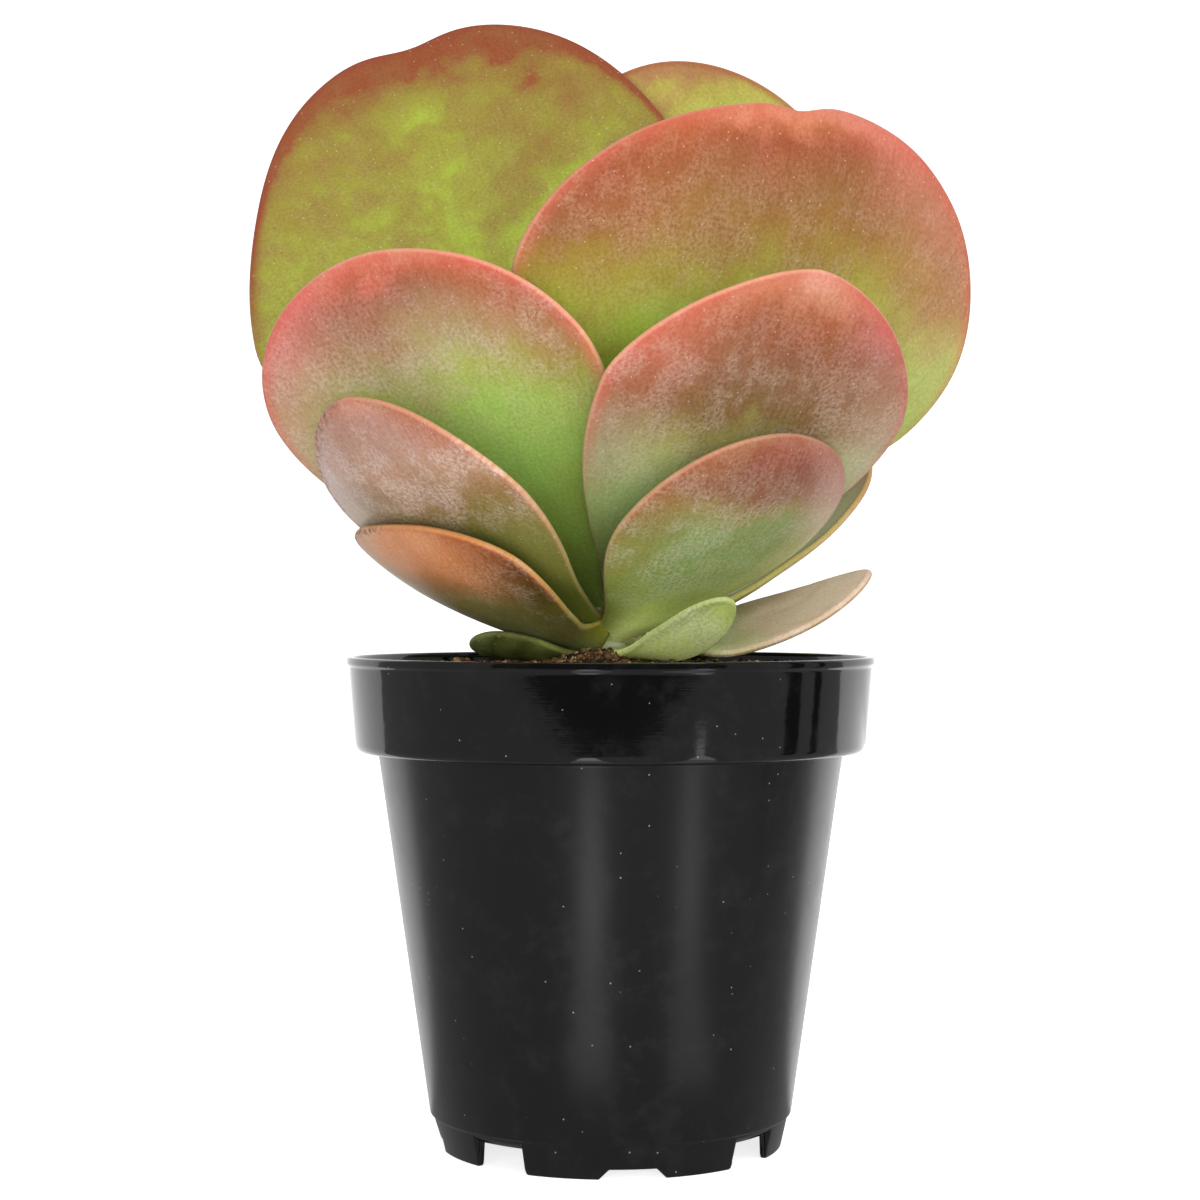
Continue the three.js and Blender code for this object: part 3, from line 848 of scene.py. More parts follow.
@dataclass
class NurseryPot:
    """A thin moulded pot with a broad band, a stepped skirt, four feet and drainage holes.

    Attributes:
        lip: height of the lip round the rim, in mm as the other sizes are.
        band_radius: outer radius of the band at its top.
        band_foot_radius: its radius at its foot.
        band_foot: height of the band's foot on the inside.
        step_height: height of the step under the band.
        wall_top_radius: outer radius of the wall under the band.
        wall_foot_radius: its radius at its foot.
        skirt_height: height of the skirt under the wall.
        skirt_radius: outer radius of the skirt at its top.
        skirt_foot_radius: its radius at its foot.
        wall: thickness of the wall.
        floor_top: height of the floor.
        floor_underside: height of its underside.
        feet: how many feet the skirt is cut into.
        first_cut_out: azimuth of the first gap between two feet, in degrees.
        cut_out_angle: width of a gap in degrees.
        cut_out_height: its height.
        foot_corner: width in degrees of the rounding at a foot's corner.
        foot_rounding: height of that rounding.
        notch_angle: width in degrees of the shallow notch in the middle of a foot.
        notch_height: its height.
        notch_slant: width in degrees of its slanting ends.
        drain_radius: radius of a drainage hole.
        drain_ring: distance from the axis of all but the middle one.
        drain_steps: how many short lines make a hole.
        uncut: height under the floor that the cuts in the skirt leave whole.
        steps: how many steps make the full turn.
        finish: its finish.
    """

    lip: float = 2.0
    band_radius: float = 53.5
    band_foot_radius: float = 52.1
    band_foot: float = 81.6
    step_height: float = 80.4
    wall_top_radius: float = 47.6
    wall_foot_radius: float = 37.0
    skirt_height: float = 6.9
    skirt_radius: float = 36.4
    skirt_foot_radius: float = 34.9
    wall: float = 1.2
    floor_top: float = 7.6
    floor_underside: float = 6.2
    feet: int = 4
    first_cut_out: float = 52.0
    cut_out_angle: float = 19.0
    cut_out_height: float = 5.0
    foot_corner: float = 1.3
    foot_rounding: float = 0.8
    notch_angle: float = 22.0
    notch_height: float = 1.9
    notch_slant: float = 3.3
    drain_radius: float = 4.0
    drain_ring: float = 29.0
    drain_steps: int = 48
    uncut: float = 0.4
    steps: int = 720
    finish: PotPlastic = PotPlastic()

    def outline(self) -> list[Point]:
        """Draws the wall's section, up the outside and down the inside.

        Returns:
            The section's points, its corners rounded.
        """
        top, wall = POT_HEIGHT, self.wall
        return filleted([
            (self.skirt_radius - wall - 1, self.floor_underside, 0),
            (self.skirt_radius - wall, self.floor_underside, 0.3),
            (self.skirt_foot_radius - wall, 0, 0.3),
            (self.skirt_foot_radius, 0, 0.35),
            (self.skirt_radius, self.skirt_height - 0.3, 0.15),
            (self.wall_foot_radius, self.skirt_height, 0.25),
            (self.wall_top_radius, self.step_height, 0.4),
            (self.band_foot_radius, self.step_height + 0.1, 1.5),
            (self.band_radius, top - self.lip, 0.25),
            (RIM_RADIUS, top - self.lip * 0.72, 0.3),
            (RIM_RADIUS, top, 0.55),
            (self.band_radius - wall + 0.3, top, 0.5),
            (self.band_radius - wall, top - self.lip * 0.4, 0.4),
            (self.band_foot_radius - wall, self.band_foot + wall / 2, 0.8),
            (self.wall_top_radius - wall, self.step_height + wall, 0.8),
            (self.wall_foot_radius - wall, self.floor_top, 1.2),
            (self.wall_foot_radius - wall - 2, self.floor_top, 0),
        ])

    def skirt_lift(self, azimuth: float) -> float:
        """Gives the height of the skirt's lower edge above the table.

        Args:
            azimuth: the place round the pot, in degrees.

        Returns:
            The height, which is 0 under a foot.
        """
        pitch = 360 / self.feet
        from_cut = abs((azimuth - self.first_cut_out + pitch / 2) % pitch - pitch / 2)
        from_notch = pitch / 2 - from_cut
        past = from_cut - self.cut_out_angle / 2
        if past < 0:
            return self.cut_out_height
        if past < self.foot_corner:
            return self.foot_rounding * (1 - math.sqrt(1 - (1 - past / self.foot_corner) ** 2))
        slope = (self.notch_angle / 2 - from_notch) / self.notch_slant
        return self.notch_height * clip(slope)

    def build(self) -> bpy.types.Object:
        """Spins the wall, cuts the skirt to its feet and closes the drilled floor.

        Returns:
            The pot.
        """
        bm = turned(self.outline(), self.steps)
        top = self.floor_underside - self.uncut
        for vert in bm.verts:
            if vert.co.z < top:
                azimuth = math.degrees(math.atan2(vert.co.x, -vert.co.y))
                vert.co.z = mix(self.skirt_lift(azimuth), top, vert.co.z / top)
        for i in range(self.feet + 1):
            angle = math.radians(self.first_cut_out + 360 / self.feet * i)
            ring = self.drain_ring if i < self.feet else 0
            self.drill(bm, ring * math.sin(angle), -ring * math.cos(angle))
        for level in (self.floor_underside, self.floor_top):
            rims = [e for e in bm.edges if e.is_boundary and all(abs(v.co.z - level) < WELD for v in e.verts)]
            bmesh.ops.triangle_fill(bm, edges=rims, use_beauty=True)
        return make_piece(bm, "nursery_pot", self.finish.build(), ("pot",), sharp=40)

    def drill(self, bm: bmesh.types.BMesh, x: float, y: float) -> None:
        """Adds the round wall of a drainage hole.

        Args:
            bm: the pot.
            x: the hole's place to the right of the axis.
            y: the hole's place behind the axis.
        """
        place = Matrix.Translation((x, y, self.floor_underside))
        ring = bmesh.ops.create_circle(bm, segments=self.drain_steps, radius=self.drain_radius, matrix=place)
        edges = list({edge for vert in ring["verts"] for edge in vert.link_edges})
        walls = bmesh.ops.extrude_edge_only(bm, edges=edges)["geom"]
        upper = [item for item in walls if isinstance(item, bmesh.types.BMVert)]
        bmesh.ops.translate(bm, verts=upper, vec=(0, 0, self.floor_top - self.floor_underside))


@dataclass
class Soil:
    """Compost that fills the pot to just under its rim, with loose crumbs and a few fibres on top.

    Attributes:
        pot: the pot that holds it.
        edge: height of the surface at the pot's wall, in mm.
        crown: height in the middle.
        relief: height of the lumps.
        relief_size: how far apart they are.
        patch: size of the surface's paler and darker patches.
        heap: how much higher it stands round the stem's front.
        heap_at: middle of that heap.
        heap_reach: its radius.
        crumbs: how many loose crumbs lie on it.
        crumb: radius of a small crumb, and of the largest.
        near_share: share of the crumbs that lie on the heap.
        near_spread: how far they spread over it.
        margin: room that they leave at the pot's wall.
        chipped: how far a crumb's corners are moved, as a share of its radius.
        fibres: how many fibres lie on it.
        fibre_step: length of one step along a fibre.
        batch: how many crumbs are made in one go.
        rings: how many rings the surface has.
        steps: how many steps make the full turn.
        gap: room between the soil and the pot.
        seed: sets where the loose crumbs and fibres fall.
        finish: its finish.
    """

    pot: NurseryPot
    edge: float = 97.2
    crown: float = 98.3
    relief: float = 0.9
    relief_size: float = 7.0
    patch: float = 3.0
    heap: float = 2.3
    heap_at: Point = (-3.0, -12.0)
    heap_reach: float = 8.5
    crumbs: int = 3600
    crumb: Point = (0.22, 0.9)
    near_share: float = 0.3
    near_spread: float = 9.0
    margin: float = 1.2
    chipped: float = 0.22
    fibres: int = 60
    fibre_step: float = 1.3
    batch: int = 50
    rings: int = 100
    steps: int = 320
    gap: float = 0.05
    seed: int = 11
    finish: Compost = Compost()

    def reach(self) -> float:
        """Gives the radius of the surface."""
        share = (self.edge - self.pot.band_foot) / (POT_HEIGHT - self.pot.band_foot)
        return mix(self.pot.band_foot_radius, self.pot.band_radius, share) - self.pot.wall - self.gap

    def level(self, x: float, y: float) -> float:
        """Gives the height of the surface.

        Args:
            x: the place to the right of the axis.
            y: the place behind the axis.

        Returns:
            The height above the table.
        """
        share = math.hypot(x, y) / self.reach()
        mound = mix(self.crown, self.edge, ease(share))
        near = math.hypot(x - self.heap_at[0], y - self.heap_at[1]) / self.heap_reach
        mound += self.heap * math.exp(-near * near)
        place = Vector((x / self.relief_size, y / self.relief_size, 3.1))
        lumps = noise.fractal(place, 0.9, 2.1, 5) * self.relief
        return mound + lumps * (1 - 0.5 * clip(share) ** 8)

    def bed(self) -> bpy.types.Object:
        """Builds the body of the soil with its lumpy surface.

        Returns:
            The soil.
        """
        pot, reach = self.pot, self.reach()
        shell = pot.wall + self.gap
        outline = [(reach * i / self.rings, self.crown) for i in range(self.rings + 1)]
        outline += [
            (pot.band_foot_radius - shell, pot.band_foot + shell),
            (pot.wall_top_radius - shell, pot.step_height + shell),
            (pot.wall_foot_radius - shell, pot.floor_top + self.gap),
            (0, pot.floor_top + self.gap),
        ]
        bm = turned(outline, self.steps)
        shade = bm.verts.layers.float.new("shade")
        for vert in bm.verts:
            x, y, z = vert.co
            vert[shade] = 0.3 + 0.35 * noise.noise(Vector((x / self.patch, y / self.patch, 9)))
            if abs(z - self.crown) < WELD:
                vert.co.z = self.level(x, y)
        return make_piece(bm, "compost_bed", self.finish.build(), ("soil",))

    def loose(self) -> bpy.types.Object:
        """Scatters crumbs, bark chips and fibres over the surface, more of them round the stem.

        Returns:
            The loose compost.
        """
        draw = random.Random(self.seed)
        batches = []
        for start in range(0, self.crumbs, self.batch):
            bm = bmesh.new()
            self.add_crumbs(bm, draw, min(self.batch, self.crumbs - start))
            batches.append(bm)
        bm = bmesh.new()
        self.add_fibres(bm, draw)
        batches.append(bm)
        return make_piece(joined(batches), "compost_crumbs", self.finish.build())

    def add_crumbs(self, bm: bmesh.types.BMesh, draw: random.Random, count: int) -> None:
        """Drops crumbs and bark chips on the surface.

        Args:
            bm: the shape that they join.
            draw: the source of chance.
            count: how many to drop.
        """
        shade = bm.verts.layers.float.new("shade")
        for _ in range(count):
            near = draw.random() < self.near_share
            angle = draw.uniform(0, math.tau)
            if near:
                spread = abs(draw.gauss(0, self.near_spread))
            else:
                spread = self.reach() * math.sqrt(draw.random()) - self.margin
            x = spread * math.cos(angle) + (self.heap_at[0] if near else 0)
            y = spread * math.sin(angle) + (self.heap_at[1] if near else 0)
            if math.hypot(x, y) > self.reach() - self.margin - 0.2:
                continue
            size = min(self.crumb[1], self.crumb[0] * math.exp(abs(draw.gauss(0, 0.55))))
            turn = Matrix.Rotation(draw.uniform(0, math.tau), 4, Vector((draw.random(), draw.random(), 0.6)))
            shape = Matrix.Diagonal((draw.uniform(0.8, 1.9), 1, draw.uniform(0.5, 1), 1))
            place = Matrix.Translation((x, y, self.level(x, y) + size * 0.3))
            made = bmesh.ops.create_icosphere(bm, subdivisions=1, radius=size, matrix=place @ turn @ shape)
            tone = clip(draw.gauss(0.45, 0.27))
            for vert in made["verts"]:
                vert.co += Vector([draw.uniform(-self.chipped, self.chipped) * size for _ in range(3)])
                vert[shade] = tone

    def add_fibres(self, bm: bmesh.types.BMesh, draw: random.Random) -> None:
        """Lays curled fibres on the surface.

        Args:
            bm: the shape that they join.
            draw: the source of chance.
        """
        shade = bm.verts.layers.float.new("shade")
        for _ in range(self.fibres):
            angle, spread = draw.uniform(0, math.tau), self.reach() * math.sqrt(draw.random()) * 0.9
            x, y = spread * math.cos(angle), spread * math.sin(angle)
            heading = draw.uniform(0, math.tau)
            points = []
            for _ in range(7):
                points.append(Vector((x, y, self.level(x, y) + 0.35)))
                heading += draw.gauss(0, 0.35)
                x += math.cos(heading) * self.fibre_step
                y += math.sin(heading) * self.fibre_step
            if max(math.hypot(p.x, p.y) for p in points) < self.reach() - 1:
                made = strand(bm, points, draw.uniform(0.1, 0.2))
                for vert in made:
                    vert[shade] = 0.75


def strand(bm: bmesh.types.BMesh, points: list[Vector], radius: float) -> list[bmesh.types.BMVert]:
    """Adds a thin round strand along a line of points, thinner towards both ends.

    Args:
        bm: the shape that it joins.
        points: its line in mm.
        radius: its greatest radius in mm.

    Returns:
        The strand's vertices.
    """
    made = []
    edges = []
    thinnest = 0.35
    for i, (here, ahead) in enumerate(zip(points, points[1:])):
        turn = (ahead - here).to_track_quat("Z", "Y").to_matrix().to_4x4()
        thick = radius * mix(thinnest, 1, math.sin(math.pi * (i + 0.5) / len(points)))
        place = Matrix.Translation(here) @ turn
        ring = bmesh.ops.create_circle(bm, segments=5, radius=thick, matrix=place, cap_ends=i == 0)["verts"]
        loop = list({edge for vert in ring for edge in vert.link_edges})
        if edges:
            bmesh.ops.bridge_loops(bm, edges=edges + loop)
        made += ring
        edges = loop
    bmesh.ops.edgeloop_fill(bm, edges=edges)
    return made


@dataclass
class Stem:
    """The short stem, hidden by the leaves' feet but for its pale front, and the shoot beside it.

    Attributes:
        radius: the stem's radius in mm.
        tip_radius: its radius at the growing tip.
        root: height of its lower end.
        taper_start: height at which it starts to narrow.
        top: height of its tip.
        ring_pitch: height between the leaf scars that ring it.
        ring_depth: how far a scar stands out.
        flare: how much it swells where it meets the soil.
        flare_at: height of that swelling.
        flare_reach: how far up and down it reaches.
        bud_at: place of the small bud on its front.
        bud: the bud's radius.
        shoot_at: place of the side shoot.
        shoot_radius: its radius.
        shoot_top: its height.
        hairs: how many pale root hairs cross its foot.
        hair_heights: the heights between which they lie.
        hair_radius: their radius.
        skin: how much thinner it is than its solid.
        rows: how many rows of faces it has.
        steps: how many steps make its full turn.
        seed: sets where the root hairs lie.
        finish: its finish.
    """

    radius: float = 5.2
    tip_radius: float = 2.2
    root: float = 88.0
    taper_start: float = 104.0
    top: float = 117.9
    ring_pitch: float = 3.2
    ring_depth: float = 0.22
    flare: float = 2.6
    flare_at: float = 99.0
    flare_reach: float = 2.4
    bud_at: tuple[float, float, float] = (-2.6, -5.2, 107.0)
    bud: float = 1.5
    shoot_at: Point = (-2.5, -10.5)
    shoot_radius: float = 1.8
    shoot_top: float = 100.6
    hairs: int = 34
    hair_heights: Point = (100.0, 102.6)
    hair_radius: float = 0.07
    skin: float = 0.3
    rows: int = 60
    steps: int = 64
    seed: int = 5
    finish: StemSkin = StemSkin()

    def build_stem(self) -> bpy.types.Object:
        """Builds the stem with its leaf scars, its bud and the root hairs at its foot.

        Returns:
            The stem.
        """
        outline = [(0, self.root)]
        for i in range(self.rows + 1):
            height = mix(self.root, self.top, i / self.rows)
            share = clip((height - self.taper_start) / (self.top - self.taper_start))
            ridge = self.ring_depth * math.cos(math.tau * height / self.ring_pitch) * (1 - share)
            flare = self.flare * math.exp(-(((height - self.flare_at) / self.flare_reach) ** 2))
            radius = mix(self.radius - self.skin, self.tip_radius - self.skin, share**1.4)
            outline.append((radius + ridge + flare, height))
        outline.append((0, self.top))
        bm = turned(outline, self.steps)
        for vert in bm.verts:
            vert.co.x += STEM_X
        bud = Matrix.Translation(self.bud_at) @ Matrix.Diagonal((0.8, 0.8, 1.5, 1))
        bmesh.ops.create_icosphere(bm, subdivisions=3, radius=self.bud, matrix=bud)
        draw = random.Random(self.seed)
        for _ in range(self.hairs):
            start = draw.uniform(-70, 70)
            height = draw.uniform(*self.hair_heights)
            points = []
            for i in range(6):
                angle = math.radians(start + i * draw.uniform(8, 16))
                out = self.radius + 0.25 + 0.5 * math.sin(math.pi * i / 5)
                spot = (STEM_X + out * math.sin(angle), -out * math.cos(angle), height + draw.gauss(0, 0.25))
                points.append(Vector(spot))
            strand(bm, points, self.hair_radius)
        return make_piece(bm, "grown_stem", self.finish.build(), ("stem",), sharp=60)

    def build_shoot(self) -> bpy.types.Object:
        """Builds the side shoot.

        Returns:
            The shoot.
        """
        outline = filleted([
            (0, self.root, 0),
            (self.shoot_radius - 0.1, self.root, 0),
            (self.shoot_radius - 0.1, self.shoot_top, 1.2),
            (0, self.shoot_top, 0),
        ])
        bm = turned(outline, 40)
        bmesh.ops.translate(bm, verts=bm.verts, vec=(*self.shoot_at, 0))
        return make_piece(bm, "grown_side_shoot", self.finish.build(), ("side_shoot",), sharp=60)


class Softbox(Enum):
    """The studio's lamps: place from the pot's axis, size and power, in metres and watts."""

    KEY = ((-0.22, -1.0, 0.2), (0.7, 0.5), 3.4)
    FILL = ((0.3, -0.95, 0.14), (0.5, 0.4), 2.2)
    SIDE = ((0.95, -0.5, 0.45), (0.5, 0.5), 3.0)
    BOUNCE = ((0.0, -0.5, 0.004), (1.0, 0.5), 3.0)
    TOP = ((0.15, -0.4, 1.25), (0.9, 0.7), 5.0)
    REAR = ((0.25, 1.0, 0.45), (0.8, 0.6), 3.0)


@dataclass(frozen=True)
class Paper:
    """Matt white studio paper, whose own faint light keeps it evenly white.

    Attributes:
        color: its colour.
        glow: strength of the light that it gives off.
    """

    color: str = "#f2f1ef"
    glow: float = 0.78

    def build(self) -> bpy.types.Material:
        """Builds the material.

        Returns:
            The paper's material.
        """
        material, tree = new_material("matt white studio paper")
        shader = add_node(tree, "BsdfPrincipled", {
            "Base Color": linear(self.color), "Roughness": 0.9, "Specular IOR Level": 0.1,
            "Emission Color": linear("#ffffff"), "Emission Strength": self.glow,
        })
        add_node(tree, "OutputMaterial", {"Surface": shader})
        material.cycles.emission_sampling = "NONE"
        return material


@dataclass(frozen=True)
class Felt:
    """Black felt, which swallows the light."""

    color: str = "#060606"

    def build(self) -> bpy.types.Material:
        """Builds the material.

        Returns:
            The felt's material.
        """
        material, tree = new_material("black felt")
        shader = add_node(tree, "BsdfDiffuse", {"Color": linear(self.color)})
        add_node(tree, "OutputMaterial", {"Surface": shader})
        return material


@dataclass
class Studio:
    """A pale round floor that turns up into a wall, soft lamps, and two low cards that the pot mirrors.

    Attributes:
        radius: radius of the flat floor in metres.
        sweep: radius of the curve up to the wall.
        wall: height of the wall.
        front: half the angle that is left out of the pot's reflections at the front, in degrees.
        aim: height that the lamps face.
        cards: azimuth, width, start, length and power of the low cards' near and far parts.
        card_height: their height.
        boards: azimuth, distance from the axis, width and foot's width of the dark boards.
        board_shoulder: height up to which a board widens.
        board_height: their height.
        room: colour of the faint light all round.
        focal: the camera's focal length in mm.
        sensor: width of its sensor in mm.
        camera_place: place of the camera from the pot's axis in metres.
        paper: finish of the floor and wall.
        felt: finish of the boards.
    """

    radius: float = 1.25
    sweep: float = 0.45
    wall: float = 1.5
    front: float = 116.0
    aim: float = 0.13
    cards: tuple[tuple[float, float, float, float, float], ...] = (
        (-9.0, 0.026, 0.07, 0.07, 0.0048),
        (-9.0, 0.026, 0.14, 0.13, 0.026),
        (37.0, 0.03, 0.07, 0.08, 0.0045),
        (37.0, 0.03, 0.15, 0.29, 0.047),
    )
    card_height: float = 0.003
    boards: tuple[tuple[float, float, float, float], ...] = (
        (-1.0, 0.4, 0.9, 0.12),
        (78.0, 0.26, 0.035, 0.035),
        (92.0, 0.26, 0.02, 0.02),
    )
    board_shoulder: float = 0.03
    board_height: float = 1.2
    room: str = "#a5a5a7"
    focal: float = 75.0
    sensor: float = 36.0
    camera_place: tuple[float, float, float] = (-0.00216, -0.5142, 0.11125)
    paper: Paper = Paper()
    felt: Felt = Felt()

    def cove(self, name: str, start: float, end: float, mirrored: bool) -> None:
        """Spins one part of the floor and wall round the pot.

        Args:
            name: the backdrop's name.
            start: azimuth at which it starts, in degrees.
            end: azimuth at which it ends.
            mirrored: whether the pot mirrors it.
        """
        outline = [(0.0, 0.0), (self.radius, 0.0)]
        bends = 8
        for i in range(1, bends + 1):
            angle = math.pi / 2 * i / bends
            outline.append((self.radius + self.sweep * math.sin(angle), self.sweep * (1 - math.cos(angle))))
        outline.append((self.radius + self.sweep, self.wall))
        bm = bmesh.new()
        verts = [bm.verts.new((0, -radius, height)) for radius, height in outline]
        edges = [bm.edges.new(pair) for pair in zip(verts, verts[1:])]
        turn = math.radians(end - start)
        bmesh.ops.rotate(bm, verts=verts, matrix=Matrix.Rotation(math.radians(start), 3, "Z"))
        bmesh.ops.spin(bm, geom=verts + edges, axis=(0, 0, 1), cent=(0, 0, 0), angle=turn, steps=48)
        bmesh.ops.remove_doubles(bm, verts=bm.verts, dist=WELD * MM)
        bm.transform(Matrix.Translation(POT_AXIS))
        backdrop = make_object(bm, name, self.paper.build())
        backdrop.visible_glossy = mirrored
        backdrop.visible_diffuse = False

    def flag(self, azimuth: float, distance: float, width: float, foot: float) -> None:
        """Stands up a dark board that only reflections see, as an unlit part of the room shows in the pot.

        Args:
            azimuth: where it stands round the pot, in degrees.
            distance: how far from the axis.
            width: its width.
            foot: its width on the floor.
        """
        bm = bmesh.new()
        bmesh.ops.create_grid(bm, x_segments=1, y_segments=2, size=0.5)
        for vert in bm.verts:
            row = round(vert.co.y * 2) + 1
            breadth = (foot, width, width)[row]
            vert.co = (vert.co.x * breadth, -distance, (0.0, self.board_shoulder, self.board_height)[row])
        bm.transform(Matrix.Translation(POT_AXIS) @ Matrix.Rotation(math.radians(azimuth), 4, "Z"))
        board = make_object(bm, "dark_board", self.felt.build())
        board.visible_camera = board.visible_diffuse = board.visible_shadow = False

    def lamp(self, name: str, place: Vector, aim: Vector, size: Point, power: float) -> bpy.types.Object:
        """Hangs a rectangular lamp that the camera doesn't see.

        Args:
            name: the lamp's name.
            place: its middle.
            aim: the point that it faces.
            size: its width and height in metres.
            power: its power in watts.

        Returns:
            The lamp.
        """
        data = bpy.data.lights.new(name, "AREA")
        data.shape = "RECTANGLE"
        data.size, data.size_y = size
        data.energy = power
        lamp = bpy.data.objects.new(name, data)
        lamp.location = place
        lamp.rotation_euler = (aim - place).to_track_quat("-Z", "Y").to_euler()
        lamp.visible_camera = False
        bpy.context.scene.collection.objects.link(lamp)
        return lamp

    def build(self) -> None:
        """Sets up the floor, the wall, the lamps, the faint room light and the camera."""
        self.cove("studio_back", self.front, 360 - self.front, True)
        self.cove("studio_front", -self.front, self.front, False)
        middle = POT_AXIS + Vector((0, 0, self.aim))
        for box in Softbox:
            place, size, power = box.value
            lamp = self.lamp("softbox_" + box.name.lower(), POT_AXIS + Vector(place), middle, size, power)
            lamp.visible_glossy = box is Softbox.TOP
        for board in self.boards:
            self.flag(*board)
        for azimuth, width, start, length, power in self.cards:
            angle = math.radians(azimuth)
            out = Vector((math.sin(angle), -math.cos(angle), 0))
            place = POT_AXIS + out * (start + length / 2) + Vector((0, 0, self.card_height))
            card = self.lamp("low_card", place, place + Vector((0, 0, 1)), (width, length), power)
            card.rotation_euler.rotate_axis("Z", -angle)
            card.visible_diffuse = False
        world = bpy.data.worlds.new("studio room")
        world.use_nodes = True
        world.node_tree.nodes["Background"].inputs["Color"].default_value = linear(self.room)
        bpy.context.scene.world = world
        bpy.context.scene.view_settings.view_transform = "Standard"
        data = bpy.data.cameras.new("studio camera")
        data.lens = self.focal
        data.sensor_width = self.sensor
        data.clip_start, data.clip_end = 0.01, 10.0
        camera = bpy.data.objects.new("studio camera", data)
        camera.location = POT_AXIS + Vector(self.camera_place)
        camera.rotation_euler = (math.pi / 2, 0, 0)
        bpy.context.scene.collection.objects.link(camera)
        bpy.context.scene.camera = camera


# The whorls of the stem from the lowest pair of leaves up, and the side shoot's own pair
LOWEST = Whorl(102, 5, 12)
LOWEST_LEFT = Whorl(102, 5, 22)
SECOND = Whorl(104.1, 4.8, 14)
THIRD = Whorl(106, 4.6, 12)
FOURTH = Whorl(108.5, 4.2, 8)
FIFTH = Whorl(111.6, 3.7, 7.5)
SIXTH = Whorl(115.2, 3.1, 7)
YOUNGEST = Whorl(118.4, 1.5, 4)
SHOOT_RIGHT = Whorl(100.3, 1.4, 3.2, *Stem.shoot_at)
SHOOT_LEFT = Whorl(100.1, 1.4, 3.2, *Stem.shoot_at)

# Low on the leaves and in the deep places between them, the greens are painted paler than the living leaves,
# as painted light that lifts the shade there
GREEN_INSIDE = ((0.0, "#7d9440"), (0.4, "#8f9c42"), (0.7, "#98a044"), (0.86, "#9d8a42"), (1.0, "#9a6440"))
LIME_INSIDE = (
    (0.0, "#9aaa38"), (0.5, "#a1b13a"), (0.6, "#9ca838"), (0.68, "#969634"), (0.78, "#918832"),
    (0.88, "#8f7c30"), (0.95, "#8d682e"), (1.0, "#8c4826"),
)
PALE_LIME_INSIDE = ((0.0, "#98aa3e"), (0.7, "#a8b048"), (0.9, "#b3b652"), (0.96, "#b2a450"), (1.0, "#ab7e50"))

LIME_OUTSIDE = ((0.0, "#6f9236"), (0.4, "#8aa344"), (0.65, "#9a9050"), (0.85, "#a2704c"), (1.0, "#b8684e"))

LIME_SKIN = LeafSkin(
    "lime green leaf skin", LIME_OUTSIDE, LIME_INSIDE, blush=0.36, blush_width=3, wander=0.2, veins=0.36,
    band="#8a4028", band_width=1.6, band_share=0.85, edge="#b98a6c", bloom=0.12, bloom_color="#c6b890",
    seed=33.0,
)
PALE_LIME_SKIN = LeafSkin(
    "pale lime leaf skin", LIME_OUTSIDE, PALE_LIME_INSIDE, blush=0.03, blush_width=4, wander=0.08, veins=0.15,
    band="#9c5638", band_width=1.2, band_share=0.8, edge="#c9a070", bloom=0.1, seed=8.0,
)
GREEN_SKIN = LeafSkin(
    "grey-green leaf skin", inner=GREEN_INSIDE, seed=17.0, bloom=0.3, blush=0.1,
    outer=((0.0, "#667c40"), (0.4, "#809058"), (0.65, "#90905e"), (0.85, "#9c7052"), (1.0, "#b8705a")),
)
SHADED_SKIN = LeafSkin(
    "olive leaf skin", inner=GREEN_INSIDE, seed=29.0, bloom=0.2, blush=0.1,
    outer=((0.0, "#76843e"), (0.4, "#929848"), (0.7, "#a09a4c"), (0.9, "#a87c50"), (1.0, "#b87454")),
)
ORANGE_SKIN = LeafSkin(
    "orange leaf skin with olive foot", inner=GREEN_INSIDE, dirt=0.9, seed=41.0, wander=0.07,
    outer=((0.2, "#7c8444"), (0.42, "#868644"), (0.53, "#988a48"), (0.61, "#ac8046"), (0.69, "#c48048"),
           (0.77, "#dc8a4e"), (0.87, "#dd8c54"), (1.0, "#d79462")),
    left=((0.3, "#a8a868"), (0.58, "#c2ae82"), (0.7, "#c8a67c"), (0.8, "#d4a682"), (0.9, "#d89c78"),
          (1.0, "#dca878")),
    right=((0.3, "#7a7828"), (0.42, "#6c661c"), (0.5, "#584a10"), (0.6, "#583a0a"), (0.7, "#6a380e"),
           (0.79, "#84441c"), (0.87, "#a05228"), (0.94, "#b06232"), (1.0, "#c68050")),
    band="#c0603e", band_width=0.8, band_share=0.5, edge="#d8b068", bloom=0.35, bloom_start=0.2,
    bloom_color="#d8cbb0",
)
CHALKY_SKIN = LeafSkin(
    "chalky rose leaf skin", seed=53.0, bloom=0.5, bloom_start=0.1, bloom_color="#f2e8da", veins=0.15,
    inner=((0.0, "#b8cc80"), (0.35, "#c4cc8c"), (0.6, "#ecd0b4"), (0.9, "#f0dac2"), (1.0, "#ecd0c0")),
    outer=((0.0, "#8e9450"), (0.5, "#8c8448"), (0.8, "#a8946a"), (1.0, "#c4a486")),
    band="#c99a7c", band_width=0.8, band_share=0.3, edge="#a08e6c",
)
